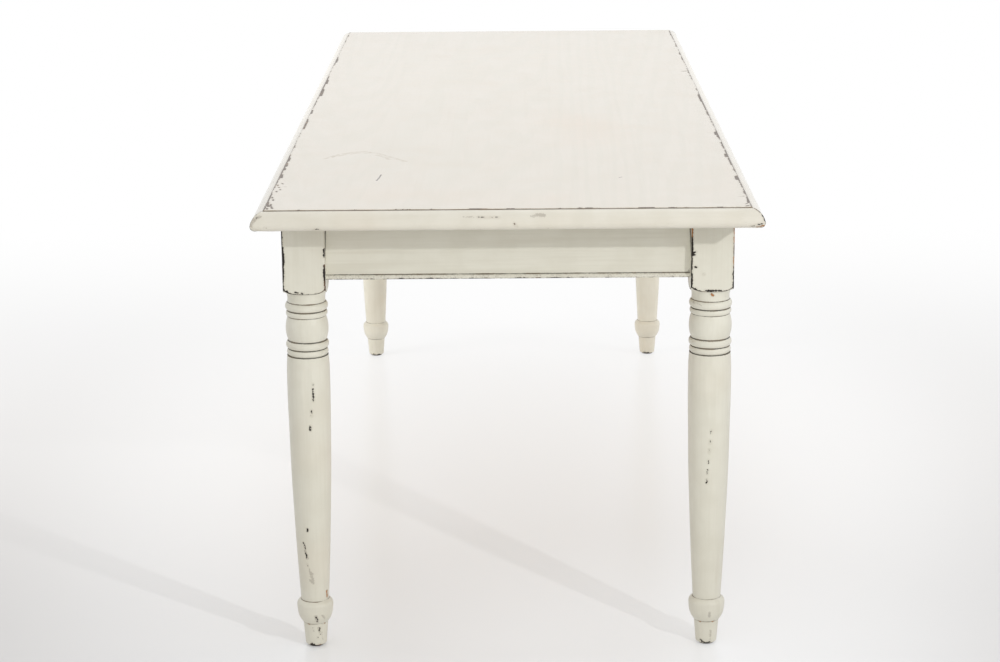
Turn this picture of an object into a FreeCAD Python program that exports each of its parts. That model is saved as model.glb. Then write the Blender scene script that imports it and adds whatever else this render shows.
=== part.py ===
import FreeCAD
import Part
import math
import os

# Painted timber dining table on four turned legs.
# Lengths are millimetres. X runs along the table, Y across it and Z up from the floor,
# with the origin on the floor under the middle of the top.

# Whole table
table_length = 2100.0
table_width = 800.0
table_height = 765.0

# Top: edge-glued boards inside a mitred moulding
top_thickness = 32.0
board_count = 5
tongue_reach = 8.0
tongue_thickness = 9.0
tongue_stop = 30.0
moulding_reach = 19.5
moulding_step = 2.0
moulding_flat = 4.0
moulding_under_radius = 10.0
ovolo_mid_shares = (0.6, 0.33)

# Leg: square block above, turned below
block_size = 69.0
block_arris_radius = 3.0
block_drop = 21.5
leg_side_inset = 39.0
leg_end_inset = 93.0
pommel_radius = 17.5
neck_radius = 33.0
neck_height = 17.5
neck_swell = -1.2
groove_depth = 2.8
upper_ring_heights = (14.0, 10.0)
upper_ring_radii = (34.7, 33.7)
barrel_height = 40.0
barrel_radius = 34.7
lower_ring_heights = (13.5, 11.5)
lower_ring_radii = (34.9, 33.7)
shaft_radius = 34.8
ankle_ball_height = 40.0
ankle_ball_radius = 30.0
foot_height = 39.5
foot_top_radius = 20.6
foot_toe_radius = 17.5
foot_round = 2.0
# From the top of the shaft and of the ankle ball: share of its length, share of its radius.
shaft_shares = (
    (0.0, 0.965), (0.045, 1.0), (0.25, 0.99), (0.42, 0.955), (0.62, 0.878), (0.82, 0.778), (1.0, 0.665)
)
ankle_ball_shares = ((0.0, 0.79), (0.1, 0.94), (0.3, 1.0), (0.55, 0.97), (0.8, 0.875), (1.0, 0.715))

# Aprons between the legs, with a bead strip let into the lower edge of each
apron_height = 101.0
apron_thickness = 22.0
apron_recess = 15.0
apron_tenon_length = 15.0
apron_tenon_thickness = 10.0
apron_tenon_shoulder = 14.0
bead_height = 8.0
bead_proud = 3.2
bead_rebate = 4.0

# Corner braces, and the hanger bolts that draw the legs into the corners
brace_gap = 12.0
brace_thickness = 26.0
brace_height = 70.0
bolt_seat_flat = 10.0
bolt_radius = 4.0
bolt_bite = 43.0
bolt_spacing = 34.0
bolt_end = 4.0
bolt_hole_clearance = 0.5
washer_radius = 8.0
washer_thickness = 1.6
nut_flats = 13.0
nut_height = 6.5

# Cross bearers under the top
bearer_width = 40.0
bearer_height = 70.0
bearer_tenon_length = 12.0
bearer_tenon_width = 20.0
bearer_tenon_shoulder = 10.0
bearer_place_share = 0.6
bearer_screw_shares = (-0.75, 0.0, 0.75)

# Turn buttons that hold the top down on the aprons
button_length = 34.0
button_width = 30.0
button_height = 20.0
button_tongue_reach = 8.0
button_tongue_thickness = 8.0
button_gap = 2.0
button_slot_play = 1.0
side_button_shares = (-0.9, -0.3, 0.3, 0.9)
end_button_shares = (-0.8, 0.8)

# Wood screws
screw_radius = 2.2
screw_head_radius = 4.2
screw_head_height = 2.6
screw_point = 5.0
screw_pocket_radius = 5.0
brace_screw_spacing = 40.0
brace_screw_seat_share = 0.5
bearer_pocket_share = 0.57
apron_bite_share = 0.7
top_bite_share = 0.6

# Nail-on glides under the feet
glide_radius = 13.0
glide_thickness = 3.0
glide_round = 1.2
nail_radius = 1.2
nail_length = 16.0

# Fits
joint_clearance = 0.15
overrun = 5.0

# Levels and places that follow from the sizes above
top_underside = table_height - top_thickness
apron_bottom = top_underside - apron_height
apron_middle = top_underside - apron_height / 2
pommel_base = apron_bottom - block_drop
tongue_middle = top_underside + top_thickness / 2
half_block = block_size / 2
leg_x = table_length / 2 - leg_end_inset - half_block
leg_y = table_width / 2 - leg_side_inset - half_block
core_length = table_length - 2 * moulding_reach
core_width = table_width - 2 * moulding_reach
board_width = core_width / board_count
# Inner faces of the two aprons of a corner, seen from the leg's axis.
apron_inner = half_block - apron_recess - apron_thickness
# Distances along a corner's diagonal from where those inner faces would meet.
diagonal = math.sqrt(2)
bolt_seat = (half_block + apron_inner) * diagonal - bolt_seat_flat / diagonal
brace_front = (half_block + apron_inner) * diagonal + brace_gap
brace_back = brace_front + brace_thickness
# Length of apron that a corner brace takes up, and what is left to each side of the middle.
brace_foot = brace_back * diagonal
side_free = leg_x + apron_inner - brace_foot
end_free = leg_y + apron_inner - brace_foot
bearer_x = bearer_place_share * side_free
bearer_span = 2 * (leg_y + apron_inner)

up = FreeCAD.Vector(0, 0, 1)
origin = FreeCAD.Vector(0, 0, 0)
full_turn = 360
tiny_turn = 0.001
# Corner names with the sign of X and Y, and the turn from the first corner.
corners = (
    ("near_right", 1, 1, 0),
    ("far_right", -1, 1, 90),
    ("far_left", -1, -1, 180),
    ("near_left", 1, -1, 270),
)


def vec(x, y, z):
    return FreeCAD.Vector(x, y, z)


def box(low, high):
    """Box between two opposite corners, each given as x, y, z."""
    size = [b - a for a, b in zip(low, high)]
    return Part.makeBox(*size, vec(*low))


def rod(radius, start, end):
    """Round bar between two points."""
    along = end - start
    return Part.makeCylinder(radius, along.Length, start, along)


def prism(outline, low, high):
    """Upright prism on an outline of x, y points."""
    points = [vec(x, y, low) for x, y in outline]
    face = Part.Face(Part.makePolygon(points + points[:1]))
    return face.extrude(vec(0, 0, high - low))


def line(start, end):
    return Part.LineSegment(start, end).toShape()


def arc(start, middle, end):
    return Part.Arc(start, middle, end).toShape()


def curve(points):
    """Smooth edge through a row of points."""
    spline = Part.BSplineCurve()
    spline.interpolate(points)
    return spline.toShape()


def turned(edges):
    """Solid of revolution about Z from a closed outline in the XZ plane."""
    return Part.Face(Part.Wire(edges)).revolve(origin, up, full_turn)


def chain(points):
    """Straight edges through x, z points of a turned outline."""
    places = [vec(x, 0, z) for x, z in points]
    return [line(a, b) for a, b in zip(places, places[1:])]


def rotated(shape, angle):
    """Copy of a shape turned about the table's upright axis."""
    copy = shape.copy()
    copy.rotate(origin, up, angle)
    return copy


def at_corner(shape, corner):
    """Copy of a shape made around the first corner's leg axis, set at another corner."""
    _, sign_x, sign_y, angle = corner
    copy = rotated(shape, angle)
    copy.translate(vec(sign_x * leg_x, sign_y * leg_y, 0))
    return copy


def set_along(shape, place, direction):
    """Copy of a shape made along +Z, pointed along a direction from a place."""
    copy = shape.copy()
    copy.Placement = FreeCAD.Placement(place, FreeCAD.Rotation(up, direction))
    return copy


# Wood screws

def screw(length):
    """Countersunk screw along +Z with the flat of its head at zero."""
    outline = (
        (0, 0),
        (screw_head_radius, 0),
        (screw_radius, screw_head_height),
        (screw_radius, length - screw_point),
        (0, length),
        (0, 0),
    )
    return turned(chain(outline))


def screw_hole(length, pocket):
    """Cutter for a screw and for the pocket that leads to its head."""
    grown = screw_radius + joint_clearance
    head = screw_head_radius + joint_clearance
    outline = (
        (0, -pocket),
        (screw_pocket_radius, -pocket),
        (screw_pocket_radius, 0),
        (head, 0),
        (grown, screw_head_height + joint_clearance),
        (grown, length + joint_clearance),
        (0, length + joint_clearance),
        (0, -pocket),
    )
    return turned(chain(outline))


# Top

def tongue(length, grow):
    """Tongue along Y that stands out to -X of a joint at zero, grown for its groove."""
    return box(
        (-tongue_reach - grow, -length / 2 - grow, tongue_middle - tongue_thickness / 2 - grow),
        (grow, length / 2 + grow, tongue_middle + tongue_thickness / 2 + grow),
    )


def moulding_section(edge):
    """Section of the moulded edge in the XZ plane, standing out from the boards at x = edge."""
    crown = table_height - moulding_step
    nose = top_underside + moulding_under_radius
    ovolo_width = moulding_reach - moulding_flat
    width_share, drop_share = ovolo_mid_shares
    inner_top = vec(edge, 0, crown)
    flat_end = vec(edge + moulding_flat, 0, crown)
    ovolo_middle = vec(
        edge + moulding_flat + width_share * ovolo_width, 0, crown - drop_share * (crown - nose)
    )
    nose_tip = vec(edge + moulding_reach, 0, nose)
    under_centre = edge + moulding_reach - moulding_under_radius
    under_middle = vec(
        under_centre + moulding_under_radius / diagonal, 0, nose - moulding_under_radius / diagonal
    )
    under_end = vec(under_centre, 0, top_underside)
    inner_bottom = vec(edge, 0, top_underside)
    return [
        line(inner_top, flat_end),
        arc(flat_end, ovolo_middle, nose_tip),
        arc(nose_tip, under_middle, under_end),
        line(under_end, inner_bottom),
        line(inner_bottom, inner_top),
    ]


def edge_moulding(edge, run):
    """Mitred length of moulding on the +X edge of boards that are run wide."""
    tip = run / 2 + moulding_reach + overrun
    bar = Part.Face(Part.Wire(moulding_section(edge))).extrude(vec(0, 2 * tip, 0))
    bar.translate(vec(0, -tip, 0))
    heel = run / 2 - overrun
    mitre = prism(
        (
            (edge - overrun, -heel),
            (edge + moulding_reach + overrun, -tip),
            (edge + moulding_reach + overrun, tip),
            (edge - overrun, heel),
        ),
        top_underside - overrun,
        table_height + overrun,
    )
    key = tongue(run - 2 * tongue_stop, 0)
    key.translate(vec(edge, 0, 0))
    return bar.common(mitre).fuse(key).removeSplitter()


def edge_grooves():
    """Cutters for the mouldings' tongues in the edges of the boards."""
    end_groove = tongue(core_width - 2 * tongue_stop, joint_clearance)
    end_groove.translate(vec(core_length / 2, 0, 0))
    side_groove = tongue(core_length - 2 * tongue_stop, joint_clearance)
    side_groove.translate(vec(core_width / 2, 0, 0))
    ends = [rotated(end_groove, angle) for angle in (0, 180)]
    sides = [rotated(side_groove, angle) for angle in (90, 270)]
    return ends + sides


def top_board(index, cutters):
    """One board, tongued on its +Y edge and grooved on its -Y edge where it meets another."""
    low_y = -core_width / 2 + index * board_width
    high_y = low_y + board_width
    half_length = core_length / 2
    board = box((-half_length, low_y, top_underside), (half_length, high_y, table_height))
    key_low = tongue_middle - tongue_thickness / 2
    key_high = tongue_middle + tongue_thickness / 2
    if index < board_count - 1:
        key = box((-half_length, high_y, key_low), (half_length, high_y + tongue_reach, key_high))
        board = board.fuse(key)
    if index > 0:
        groove = box(
            (-half_length - overrun, low_y - overrun, key_low - joint_clearance),
            (
                half_length + overrun,
                low_y + tongue_reach + joint_clearance,
                key_high + joint_clearance,
            ),
        )
        board = board.cut(groove)
    return board.cut(cutters).removeSplitter()


# Legs

def ring_edge(high, height, crown, foot):
    """Convex turned ring from the groove above it down to the groove below."""
    return arc(
        vec(foot, 0, high), vec(crown, 0, high - height / 2), vec(foot, 0, high - height)
    )


def swell_points(shares, high, length, radius):
    """Points of a swelling or tapering outline that runs down from a level."""
    return [
        vec(radius_share * radius, 0, high - along_share * length)
        for along_share, radius_share in shares
    ]


def turning():
    """Turned part of a leg, from the pommel down to the toe."""
    edges = []
    level = pommel_base
    rings = [
        (upper_ring_heights[0], upper_ring_radii[0]),
        (upper_ring_heights[1], upper_ring_radii[1]),
        (barrel_height, barrel_radius),
        (lower_ring_heights[0], lower_ring_radii[0]),
        (lower_ring_heights[1], lower_ring_radii[1]),
    ]
    waist = min(radius for _, radius in rings) - groove_depth
    neck_low = level - neck_height
    neck_middle = vec((neck_radius + waist) / 2 + neck_swell, 0, level - neck_height / 2)
    edges.append(arc(vec(neck_radius, 0, level), neck_middle, vec(waist, 0, neck_low)))
    level = neck_low
    for height, radius in rings:
        edges.append(ring_edge(level, height, radius, waist))
        level -= height
    ball_bottom = glide_thickness + foot_height
    ball_top = ball_bottom + ankle_ball_height
    shaft = swell_points(shaft_shares, level, level - ball_top, shaft_radius)
    ball = swell_points(ankle_ball_shares, ball_top, ankle_ball_height, ankle_ball_radius)
    edges.append(line(vec(waist, 0, level), shaft[0]))
    edges.append(curve(shaft))
    edges.append(line(shaft[-1], ball[0]))
    edges.append(curve(ball))
    toe = (
        (ball[-1].x, ball_bottom),
        (foot_top_radius, ball_bottom),
        (foot_toe_radius, glide_thickness + foot_round),
        (foot_toe_radius - foot_round, glide_thickness),
        (0, glide_thickness),
        (0, pommel_base),
        (neck_radius, pommel_base),
    )
    return turned(edges + chain(toe))


def leg_block():
    """Square block with softened arrises and a turned shoulder below."""
    block = box(
        (-half_block, -half_block, pommel_base), (half_block, half_block, top_underside)
    )
    arrises = [
        edge for edge in block.Edges if edge.tangentAt(edge.FirstParameter).isParallel(up, tiny_turn)
    ]
    block = block.makeFillet(block_arris_radius, arrises)
    # The shoulder is a quarter round that starts at the neck and runs past the block's corners.
    outer = neck_radius + pommel_radius
    centre = pommel_base + pommel_radius
    middle = vec(
        neck_radius + pommel_radius / diagonal, 0, centre - pommel_radius / diagonal
    )
    shoulder = [arc(vec(neck_radius, 0, pommel_base), middle, vec(outer, 0, centre))]
    rest = (
        (outer, centre),
        (outer + block_size, centre),
        (outer + block_size, top_underside + overrun),
        (0, top_underside + overrun),
        (0, pommel_base),
        (neck_radius, pommel_base),
    )
    return block.common(turned(shoulder + chain(rest)))


def leg_cutters():
    """Mortises, bolt seat, bolt holes and nail hole of the first corner's leg."""
    tenon = tenon_box(joint_clearance)
    tenon.translate(vec(-half_block, half_block - apron_recess - apron_thickness / 2, 0))
    across = tenon.mirror(origin, vec(1, -1, 0))
    inner = -half_block - overrun
    tip = -half_block + bolt_seat_flat + overrun
    seat = prism(
        ((inner, inner), (tip, inner), (inner, tip)),
        apron_middle - brace_height / 2,
        top_underside + overrun,
    )
    bolts = [
        diagonal_rod(bolt_radius + joint_clearance, bolt_seat - bolt_bite, brace_front, level)
        for level in bolt_levels()
    ]
    nail = rod(
        nail_radius + joint_clearance,
        origin,
        vec(0, 0, glide_thickness + nail_length + joint_clearance),
    )
    return [tenon, across, seat, nail] + bolts


def leg():
    """Leg around the Z axis, with its inner corner towards -X and -Y."""
    return leg_block().fuse(turning()).removeSplitter().cut(leg_cutters())


# Aprons and bead strips

def tenon_box(grow):
    """Stub tenon that stands out to +X of an apron's end at zero, grown for its mortise."""
    half_thick = apron_tenon_thickness / 2
    return box(
        (-grow, -half_thick - grow, apron_bottom + apron_tenon_shoulder - grow),
        (apron_tenon_length + grow, half_thick + grow, top_underside - apron_tenon_shoulder + grow),
    )


def apron(clear_length, outer_face, cutters):
    """Apron along X with its face at y = outer_face, tenoned into a leg at each end."""
    half_length = clear_length / 2
    inner_face = outer_face - apron_thickness
    middle = outer_face - apron_thickness / 2
    board = box((-half_length, inner_face, apron_bottom), (half_length, outer_face, top_underside))
    tenon = tenon_box(0)
    tenon.translate(vec(half_length, middle, 0))
    other = tenon.mirror(origin, vec(1, 0, 0))
    rebate = box(
        (-half_length - overrun, outer_face - bead_rebate, apron_bottom - overrun),
        (half_length + overrun, outer_face + overrun, apron_bottom + bead_height),
    )
    return board.fuse([tenon, other]).removeSplitter().cut([rebate] + cutters)


def bead_strip(clear_length, outer_face):
    """Round-nosed strip that fills the rebate along an apron's lower edge."""
    start = -clear_length / 2
    back = outer_face - bead_rebate
    crest = apron_bottom + bead_height
    low_front = vec(start, outer_face, apron_bottom)
    high_front = vec(start, outer_face, crest)
    nose = vec(start, outer_face + bead_proud, apron_bottom + bead_height / 2)
    low_back = vec(start, back, apron_bottom)
    high_back = vec(start, back, crest)
    outline = [
        arc(low_front, nose, high_front),
        line(high_front, high_back),
        line(high_back, low_back),
        line(low_back, low_front),
    ]
    return Part.Face(Part.Wire(outline)).extrude(vec(clear_length, 0, 0))


# Corner braces and their fasteners, made around the first corner's leg axis

def diagonal_point(distance, level):
    """Point on the corner's diagonal, measured from where the aprons' inner faces would meet."""
    place = apron_inner - distance / diagonal
    return vec(place, place, level)


def diagonal_rod(radius, start, end, level):
    return rod(radius, diagonal_point(start, level), diagonal_point(end, level))


def bolt_levels():
    return [apron_middle - bolt_spacing / 2, apron_middle + bolt_spacing / 2]


def brace_screw_places():
    """Head places and directions of the screws through a brace into its two aprons."""
    along = (brace_front + brace_back) / 2 * diagonal
    wedge = brace_foot - along
    far = apron_inner - along
    near = apron_inner - brace_screw_seat_share * wedge
    places = []
    for level in (apron_middle - brace_screw_spacing / 2, apron_middle + brace_screw_spacing / 2):
        places.append((vec(far, near, level), vec(0, 1, 0)))
        places.append((vec(near, far, level), vec(1, 0, 0)))
    return places


def brace_screw_length():
    wedge = brace_foot - (brace_front + brace_back) / 2 * diagonal
    return brace_screw_seat_share * wedge + apron_bite_share * apron_thickness


def brace_screws():
    shape = screw(brace_screw_length())
    return [set_along(shape, place, way) for place, way in brace_screw_places()]


def brace_screw_holes():
    shape = screw_hole(brace_screw_length(), brace_thickness)
    return [set_along(shape, place, way) for place, way in brace_screw_places()]


def corner_brace():
    """Diagonal brace with mitred ends that lie against the aprons."""
    start = apron_inner - brace_front * diagonal
    end = apron_inner - brace_foot
    body = prism(
        ((start, apron_inner), (end, apron_inner), (apron_inner, end), (apron_inner, start)),
        apron_middle - brace_height / 2,
        apron_middle + brace_height / 2,
    )
    hole = bolt_radius + bolt_hole_clearance
    holes = [
        diagonal_rod(hole, brace_front - overrun, brace_back + overrun, level)
        for level in bolt_levels()
    ]
    return body.cut(holes + brace_screw_holes())


def hanger_bolts():
    end = brace_back + washer_thickness + nut_height + bolt_end
    return [
        diagonal_rod(bolt_radius, bolt_seat - bolt_bite, end, level) for level in bolt_levels()
    ]


def washers():
    seat = brace_back + washer_thickness
    hole = bolt_radius + joint_clearance
    return [
        diagonal_rod(washer_radius, brace_back, seat, level).cut(
            diagonal_rod(hole, brace_back - overrun, seat + overrun, level)
        )
        for level in bolt_levels()
    ]


def nuts():
    """Hexagon nuts on the hanger bolts."""
    corner_radius = nut_flats / math.sqrt(3)
    sides = 6
    outline = [
        (
            corner_radius * math.cos(2 * math.pi * side / sides),
            corner_radius * math.sin(2 * math.pi * side / sides),
        )
        for side in range(sides)
    ]
    bore = rod(bolt_radius + joint_clearance, vec(0, 0, -overrun), vec(0, 0, nut_height + overrun))
    nut = prism(outline, 0, nut_height).cut(bore)
    start = brace_back + washer_thickness
    inward = vec(-1, -1, 0)
    return [set_along(nut, diagonal_point(start, level), inward) for level in bolt_levels()]


# Cross bearers

def bearer_tenon(grow):
    """Stub tenons at both ends of a bearer at x = 0, grown for their mortises."""
    half_width = bearer_tenon_width / 2
    half_span = bearer_span / 2 + bearer_tenon_length
    low = top_underside - bearer_height + bearer_tenon_shoulder
    high = top_underside - bearer_tenon_shoulder
    return box(
        (-half_width - grow, -half_span - grow, low - grow),
        (half_width + grow, half_span + grow, high + grow),
    )


def bearer_mortises():
    cutters = []
    for sign in (-1, 1):
        cutter = bearer_tenon(joint_clearance)
        cutter.translate(vec(sign * bearer_x, 0, 0))
        cutters.append(cutter)
    return cutters


def bearer_screw_places():
    """Head places of the screws that run up through the bearers into the top."""
    level = top_underside - bearer_height * (1 - bearer_pocket_share)
    half_span = bearer_span / 2
    return [
        vec(sign * bearer_x, share * half_span, level)
        for sign in (-1, 1)
        for share in bearer_screw_shares
    ]


def bearer_screw_length():
    return bearer_height * (1 - bearer_pocket_share) + top_bite_share * top_thickness


def bearer_screws():
    shape = screw(bearer_screw_length())
    return [set_along(shape, place, up) for place in bearer_screw_places()]


def bearer_screw_holes():
    shape = screw_hole(bearer_screw_length(), bearer_height)
    return [set_along(shape, place, up) for place in bearer_screw_places()]


def cross_bearer(sign, holes):
    """Rail across the underside of the top, stub-tenoned into the long aprons."""
    half_width = bearer_width / 2
    rail = box(
        (-half_width, -bearer_span / 2, top_underside - bearer_height),
        (half_width, bearer_span / 2, top_underside),
    )
    rail = rail.fuse(bearer_tenon(0)).removeSplitter()
    rail.translate(vec(sign * bearer_x, 0, 0))
    return rail.cut(holes)


# Turn buttons

def button_places():
    """Points on the aprons' inner faces at the buttons, with the turn of each button."""
    side_face = leg_y + apron_inner
    end_face = leg_x + apron_inner
    side_reach = side_free - button_width / 2
    end_reach = end_free - button_width / 2
    places = []
    for share in side_button_shares:
        places.append((vec(share * side_reach, side_face, 0), 0))
        places.append((vec(share * side_reach, -side_face, 0), 180))
    for share in end_button_shares:
        places.append((vec(end_face, share * end_reach, 0), 270))
        places.append((vec(-end_face, share * end_reach, 0), 90))
    return places


def at_buttons(shape):
    """Copies of a shape, made on an apron face at the origin, at every button."""
    copies = []
    for place, angle in button_places():
        copy = rotated(shape, angle)
        copy.translate(place)
        copies.append(copy)
    return copies


def button_screw_length():
    return button_height + top_bite_share * top_thickness


def button_screw_place():
    return vec(0, -button_gap - button_length / 2, top_underside - button_height)


def button():
    """Wooden button under the top with its tongue pointing to +Y into the apron."""
    low = top_underside - button_height
    half_width = button_width / 2
    body = box(
        (-half_width, -button_gap - button_length, low), (half_width, -button_gap, top_underside)
    )
    key = box(
        (-half_width, -button_gap, low),
        (half_width, button_tongue_reach, low + button_tongue_thickness),
    )
    return body.fuse(key).removeSplitter().cut(button_screw_hole())


def button_slot():
    """Cutter for the slot in an apron that takes a button's tongue."""
    low = top_underside - button_height
    half_width = button_width / 2 + button_slot_play
    return box(
        (-half_width, -overrun, low - button_slot_play),
        (
            half_width,
            button_tongue_reach + button_slot_play,
            low + button_tongue_thickness + joint_clearance,
        ),
    )


def button_screw():
    return set_along(screw(button_screw_length()), button_screw_place(), up)


def button_screw_hole():
    return set_along(screw_hole(button_screw_length(), overrun), button_screw_place(), up)


# Glides

def foot_glide():
    """Round glide with the nail that holds it in the toe."""
    toe = glide_radius - glide_round
    corner = glide_round - glide_round / diagonal
    bottom = [line(origin, vec(toe, 0, 0))]
    bottom.append(
        arc(
            vec(toe, 0, 0),
            vec(glide_radius - corner, 0, corner),
            vec(glide_radius, 0, glide_round),
        )
    )
    rest = (
        (glide_radius, glide_round),
        (glide_radius, glide_thickness),
        (nail_radius, glide_thickness),
        (nail_radius, glide_thickness + nail_length - nail_radius),
        (0, glide_thickness + nail_length),
        (0, 0),
    )
    return turned(bottom + chain(rest))


# Assembly

def build_top(nodes):
    cutters = edge_grooves() + bearer_screw_holes() + at_buttons(button_screw_hole())
    for index in range(board_count):
        nodes["top_board_%d" % (index + 1)] = top_board(index, cutters)
    end = edge_moulding(core_length / 2, core_width)
    side = edge_moulding(core_width / 2, core_length)
    nodes["end_moulding_near"] = end
    nodes["end_moulding_far"] = rotated(end, 180)
    nodes["side_moulding_right"] = rotated(side, 90)
    nodes["side_moulding_left"] = rotated(side, 270)


def build_corners(nodes):
    one_leg = leg()
    one_brace = corner_brace()
    one_glide = foot_glide()
    for corner in corners:
        nodes["leg_" + corner[0]] = at_corner(one_leg, corner)
        nodes["corner_brace_" + corner[0]] = at_corner(one_brace, corner)
        nodes["foot_glide_" + corner[0]] = at_corner(one_glide, corner)
    fasteners = {
        "hanger_bolts": hanger_bolts(),
        "hanger_washers": washers(),
        "hanger_nuts": nuts(),
        "brace_screws": brace_screws(),
    }
    for name, shapes in fasteners.items():
        copies = [at_corner(shape, corner) for corner in corners for shape in shapes]
        nodes[name] = Part.makeCompound(copies)


def build_aprons(nodes):
    holes = [at_corner(hole, corner) for corner in corners for hole in brace_screw_holes()]
    cutters = holes + at_buttons(button_slot()) + bearer_mortises()
    side_clear = 2 * (leg_x - half_block)
    end_clear = 2 * (leg_y - half_block)
    side_face = leg_y + half_block - apron_recess
    end_face = leg_x + half_block - apron_recess
    sides = (
        ("right", "long_apron_right", side_clear, side_face, 0),
        ("left", "long_apron_left", side_clear, side_face, 180),
        ("near", "end_apron_near", end_clear, end_face, 270),
        ("far", "end_apron_far", end_clear, end_face, 90),
    )
    for side, name, clear, face, angle in sides:
        turned_cutters = [rotated(cutter, -angle) for cutter in cutters]
        nodes[name] = rotated(apron(clear, face, turned_cutters), angle)
        nodes["bead_strip_" + side] = rotated(bead_strip(clear, face), angle)


def build_top_fixings(nodes):
    holes = bearer_screw_holes()
    nodes["cross_bearer_near"] = cross_bearer(1, holes)
    nodes["cross_bearer_far"] = cross_bearer(-1, holes)
    nodes["bearer_screws"] = Part.makeCompound(bearer_screws())
    nodes["top_buttons"] = Part.makeCompound(at_buttons(button()))
    nodes["button_screws"] = Part.makeCompound(at_buttons(button_screw()))


def main():
    nodes = {}
    build_top(nodes)
    build_corners(nodes)
    build_aprons(nodes)
    build_top_fixings(nodes)
    os.makedirs("parts", exist_ok=True)
    for name, shape in nodes.items():
        print("%-26s solids %2d  volume %10.0f" % (name, len(shape.Solids), shape.Volume))
        shape.exportStep(os.path.join("parts", name + ".step"))


main()
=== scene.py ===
import math

import bmesh
import bpy
import numpy as np
from mathutils import Matrix, Vector, noise


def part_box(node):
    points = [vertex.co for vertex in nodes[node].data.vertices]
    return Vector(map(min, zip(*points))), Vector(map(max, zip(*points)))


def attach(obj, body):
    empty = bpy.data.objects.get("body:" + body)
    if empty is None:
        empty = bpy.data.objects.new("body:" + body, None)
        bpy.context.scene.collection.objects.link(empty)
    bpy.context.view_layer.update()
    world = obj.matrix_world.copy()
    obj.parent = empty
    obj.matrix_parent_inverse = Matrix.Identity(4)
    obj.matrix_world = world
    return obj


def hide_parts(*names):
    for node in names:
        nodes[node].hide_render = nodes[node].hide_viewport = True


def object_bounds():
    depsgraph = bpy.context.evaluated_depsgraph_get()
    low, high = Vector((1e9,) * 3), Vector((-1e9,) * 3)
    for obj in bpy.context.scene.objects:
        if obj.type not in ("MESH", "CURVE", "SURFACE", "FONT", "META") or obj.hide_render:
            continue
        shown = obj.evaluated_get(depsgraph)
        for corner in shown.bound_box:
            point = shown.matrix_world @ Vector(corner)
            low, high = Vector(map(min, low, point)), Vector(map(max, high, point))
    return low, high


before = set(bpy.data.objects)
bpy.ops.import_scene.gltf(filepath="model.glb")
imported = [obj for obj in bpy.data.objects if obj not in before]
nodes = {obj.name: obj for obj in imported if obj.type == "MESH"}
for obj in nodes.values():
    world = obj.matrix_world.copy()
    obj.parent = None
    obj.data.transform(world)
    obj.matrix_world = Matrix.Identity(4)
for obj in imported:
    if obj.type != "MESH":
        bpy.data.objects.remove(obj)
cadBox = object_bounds()
mm = 0.001  # sizes are written in millimetres, and times this they are metres
corners = {"near_right": 0, "far_right": 90, "far_left": 180, "near_left": 270}  # turn of each, degrees
unworn = -99.0      # mm, wear field far from any worn place
sharpAngle = 38.0   # degrees between faces from which an edge is drawn sharp
mergeReach = 1e-6   # metres within which points are one
print("frame loaded:", len(nodes), "nodes")


def srgb(red, green, blue):
    # colour as it looks on a screen, 0 to 255
    shares = [c / 255 for c in (red, green, blue)]
    return tuple(c / 12.92 if c < 0.04 else ((c + 0.055) / 1.055) ** 2.4 for c in shares) + (1.0,)


def pickSocket(sockets, key):
    if isinstance(key, int):
        return sockets[key]
    return next(s for s in sockets if key in (s.identifier, s.name))


class Wire:
    # one output socket, and sums on wires add Math nodes to its tree
    def __init__(self, tree, socket=None):
        self.tree = tree
        self.socket = socket

    def node(self, kind, settings=None, inputs=None, out=0):
        made = self.tree.nodes.new(kind)
        for name, value in (settings or {}).items():
            setattr(made, name, value)
        for key, value in (inputs or {}).items():
            target = pickSocket(made.inputs, key)
            if isinstance(value, Wire):
                self.tree.links.new(value.socket, target)
            else:
                target.default_value = value
        return Wire(self.tree, pickSocket(made.outputs, out) if made.outputs else None)

    def maths(self, operation, *others):  # this wire comes first
        return self.node("ShaderNodeMath", {"operation": operation}, dict(enumerate((self, *others))))

    def swapped(self, operation, first):  # this wire comes second
        return self.node("ShaderNodeMath", {"operation": operation}, {0: first, 1: self})

    def vector(self, operation, *others, out=0):
        inputs = dict(enumerate((self, *others)))
        return self.node("ShaderNodeVectorMath", {"operation": operation}, inputs, out)

    def smooth(self, low, high):  # 0 at low and before it, 1 at high and after it
        inputs = {0: self, 1: low, 2: high}
        return self.node("ShaderNodeMapRange", {"interpolation_type": "SMOOTHSTEP"}, inputs)

    def blend(self, first, second):  # this factor mixes two colours
        inputs = {"Factor_Float": self, "A_Color": first, "B_Color": second}
        return self.node("ShaderNodeMix", {"data_type": "RGBA"}, inputs, "Result_Color")

    def __add__(self, other):
        return self.maths("ADD", other)

    def __sub__(self, other):
        return self.maths("SUBTRACT", other)

    def __rsub__(self, other):
        return self.swapped("SUBTRACT", other)

    def __mul__(self, other):
        return self.maths("MULTIPLY", other)

    def __truediv__(self, other):
        return self.maths("DIVIDE", other)

    def __rtruediv__(self, other):
        return self.swapped("DIVIDE", other)

    def __gt__(self, other):
        return self.maths("GREATER_THAN", other)

    __radd__ = __add__
    __rmul__ = __mul__


def newMaterial(name):
    material = bpy.data.materials.new(name)
    material.use_nodes = True
    material.node_tree.nodes.clear()
    start = Wire(material.node_tree)
    return material, start, start.node("ShaderNodeTexCoord", out="Object")


def closeMaterial(start, **sockets):
    inputs = {name.replace("_", " "): value for name, value in sockets.items()}
    shader = start.node("ShaderNodeBsdfPrincipled", inputs=inputs)
    start.node("ShaderNodeOutputMaterial", inputs={"Surface": shader})


def bumped(start, height, strength=1.0):
    # normal of a relief in millimetres
    return start.node("ShaderNodeBump", inputs={"Height": height, "Distance": mm, "Strength": strength})


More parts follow.
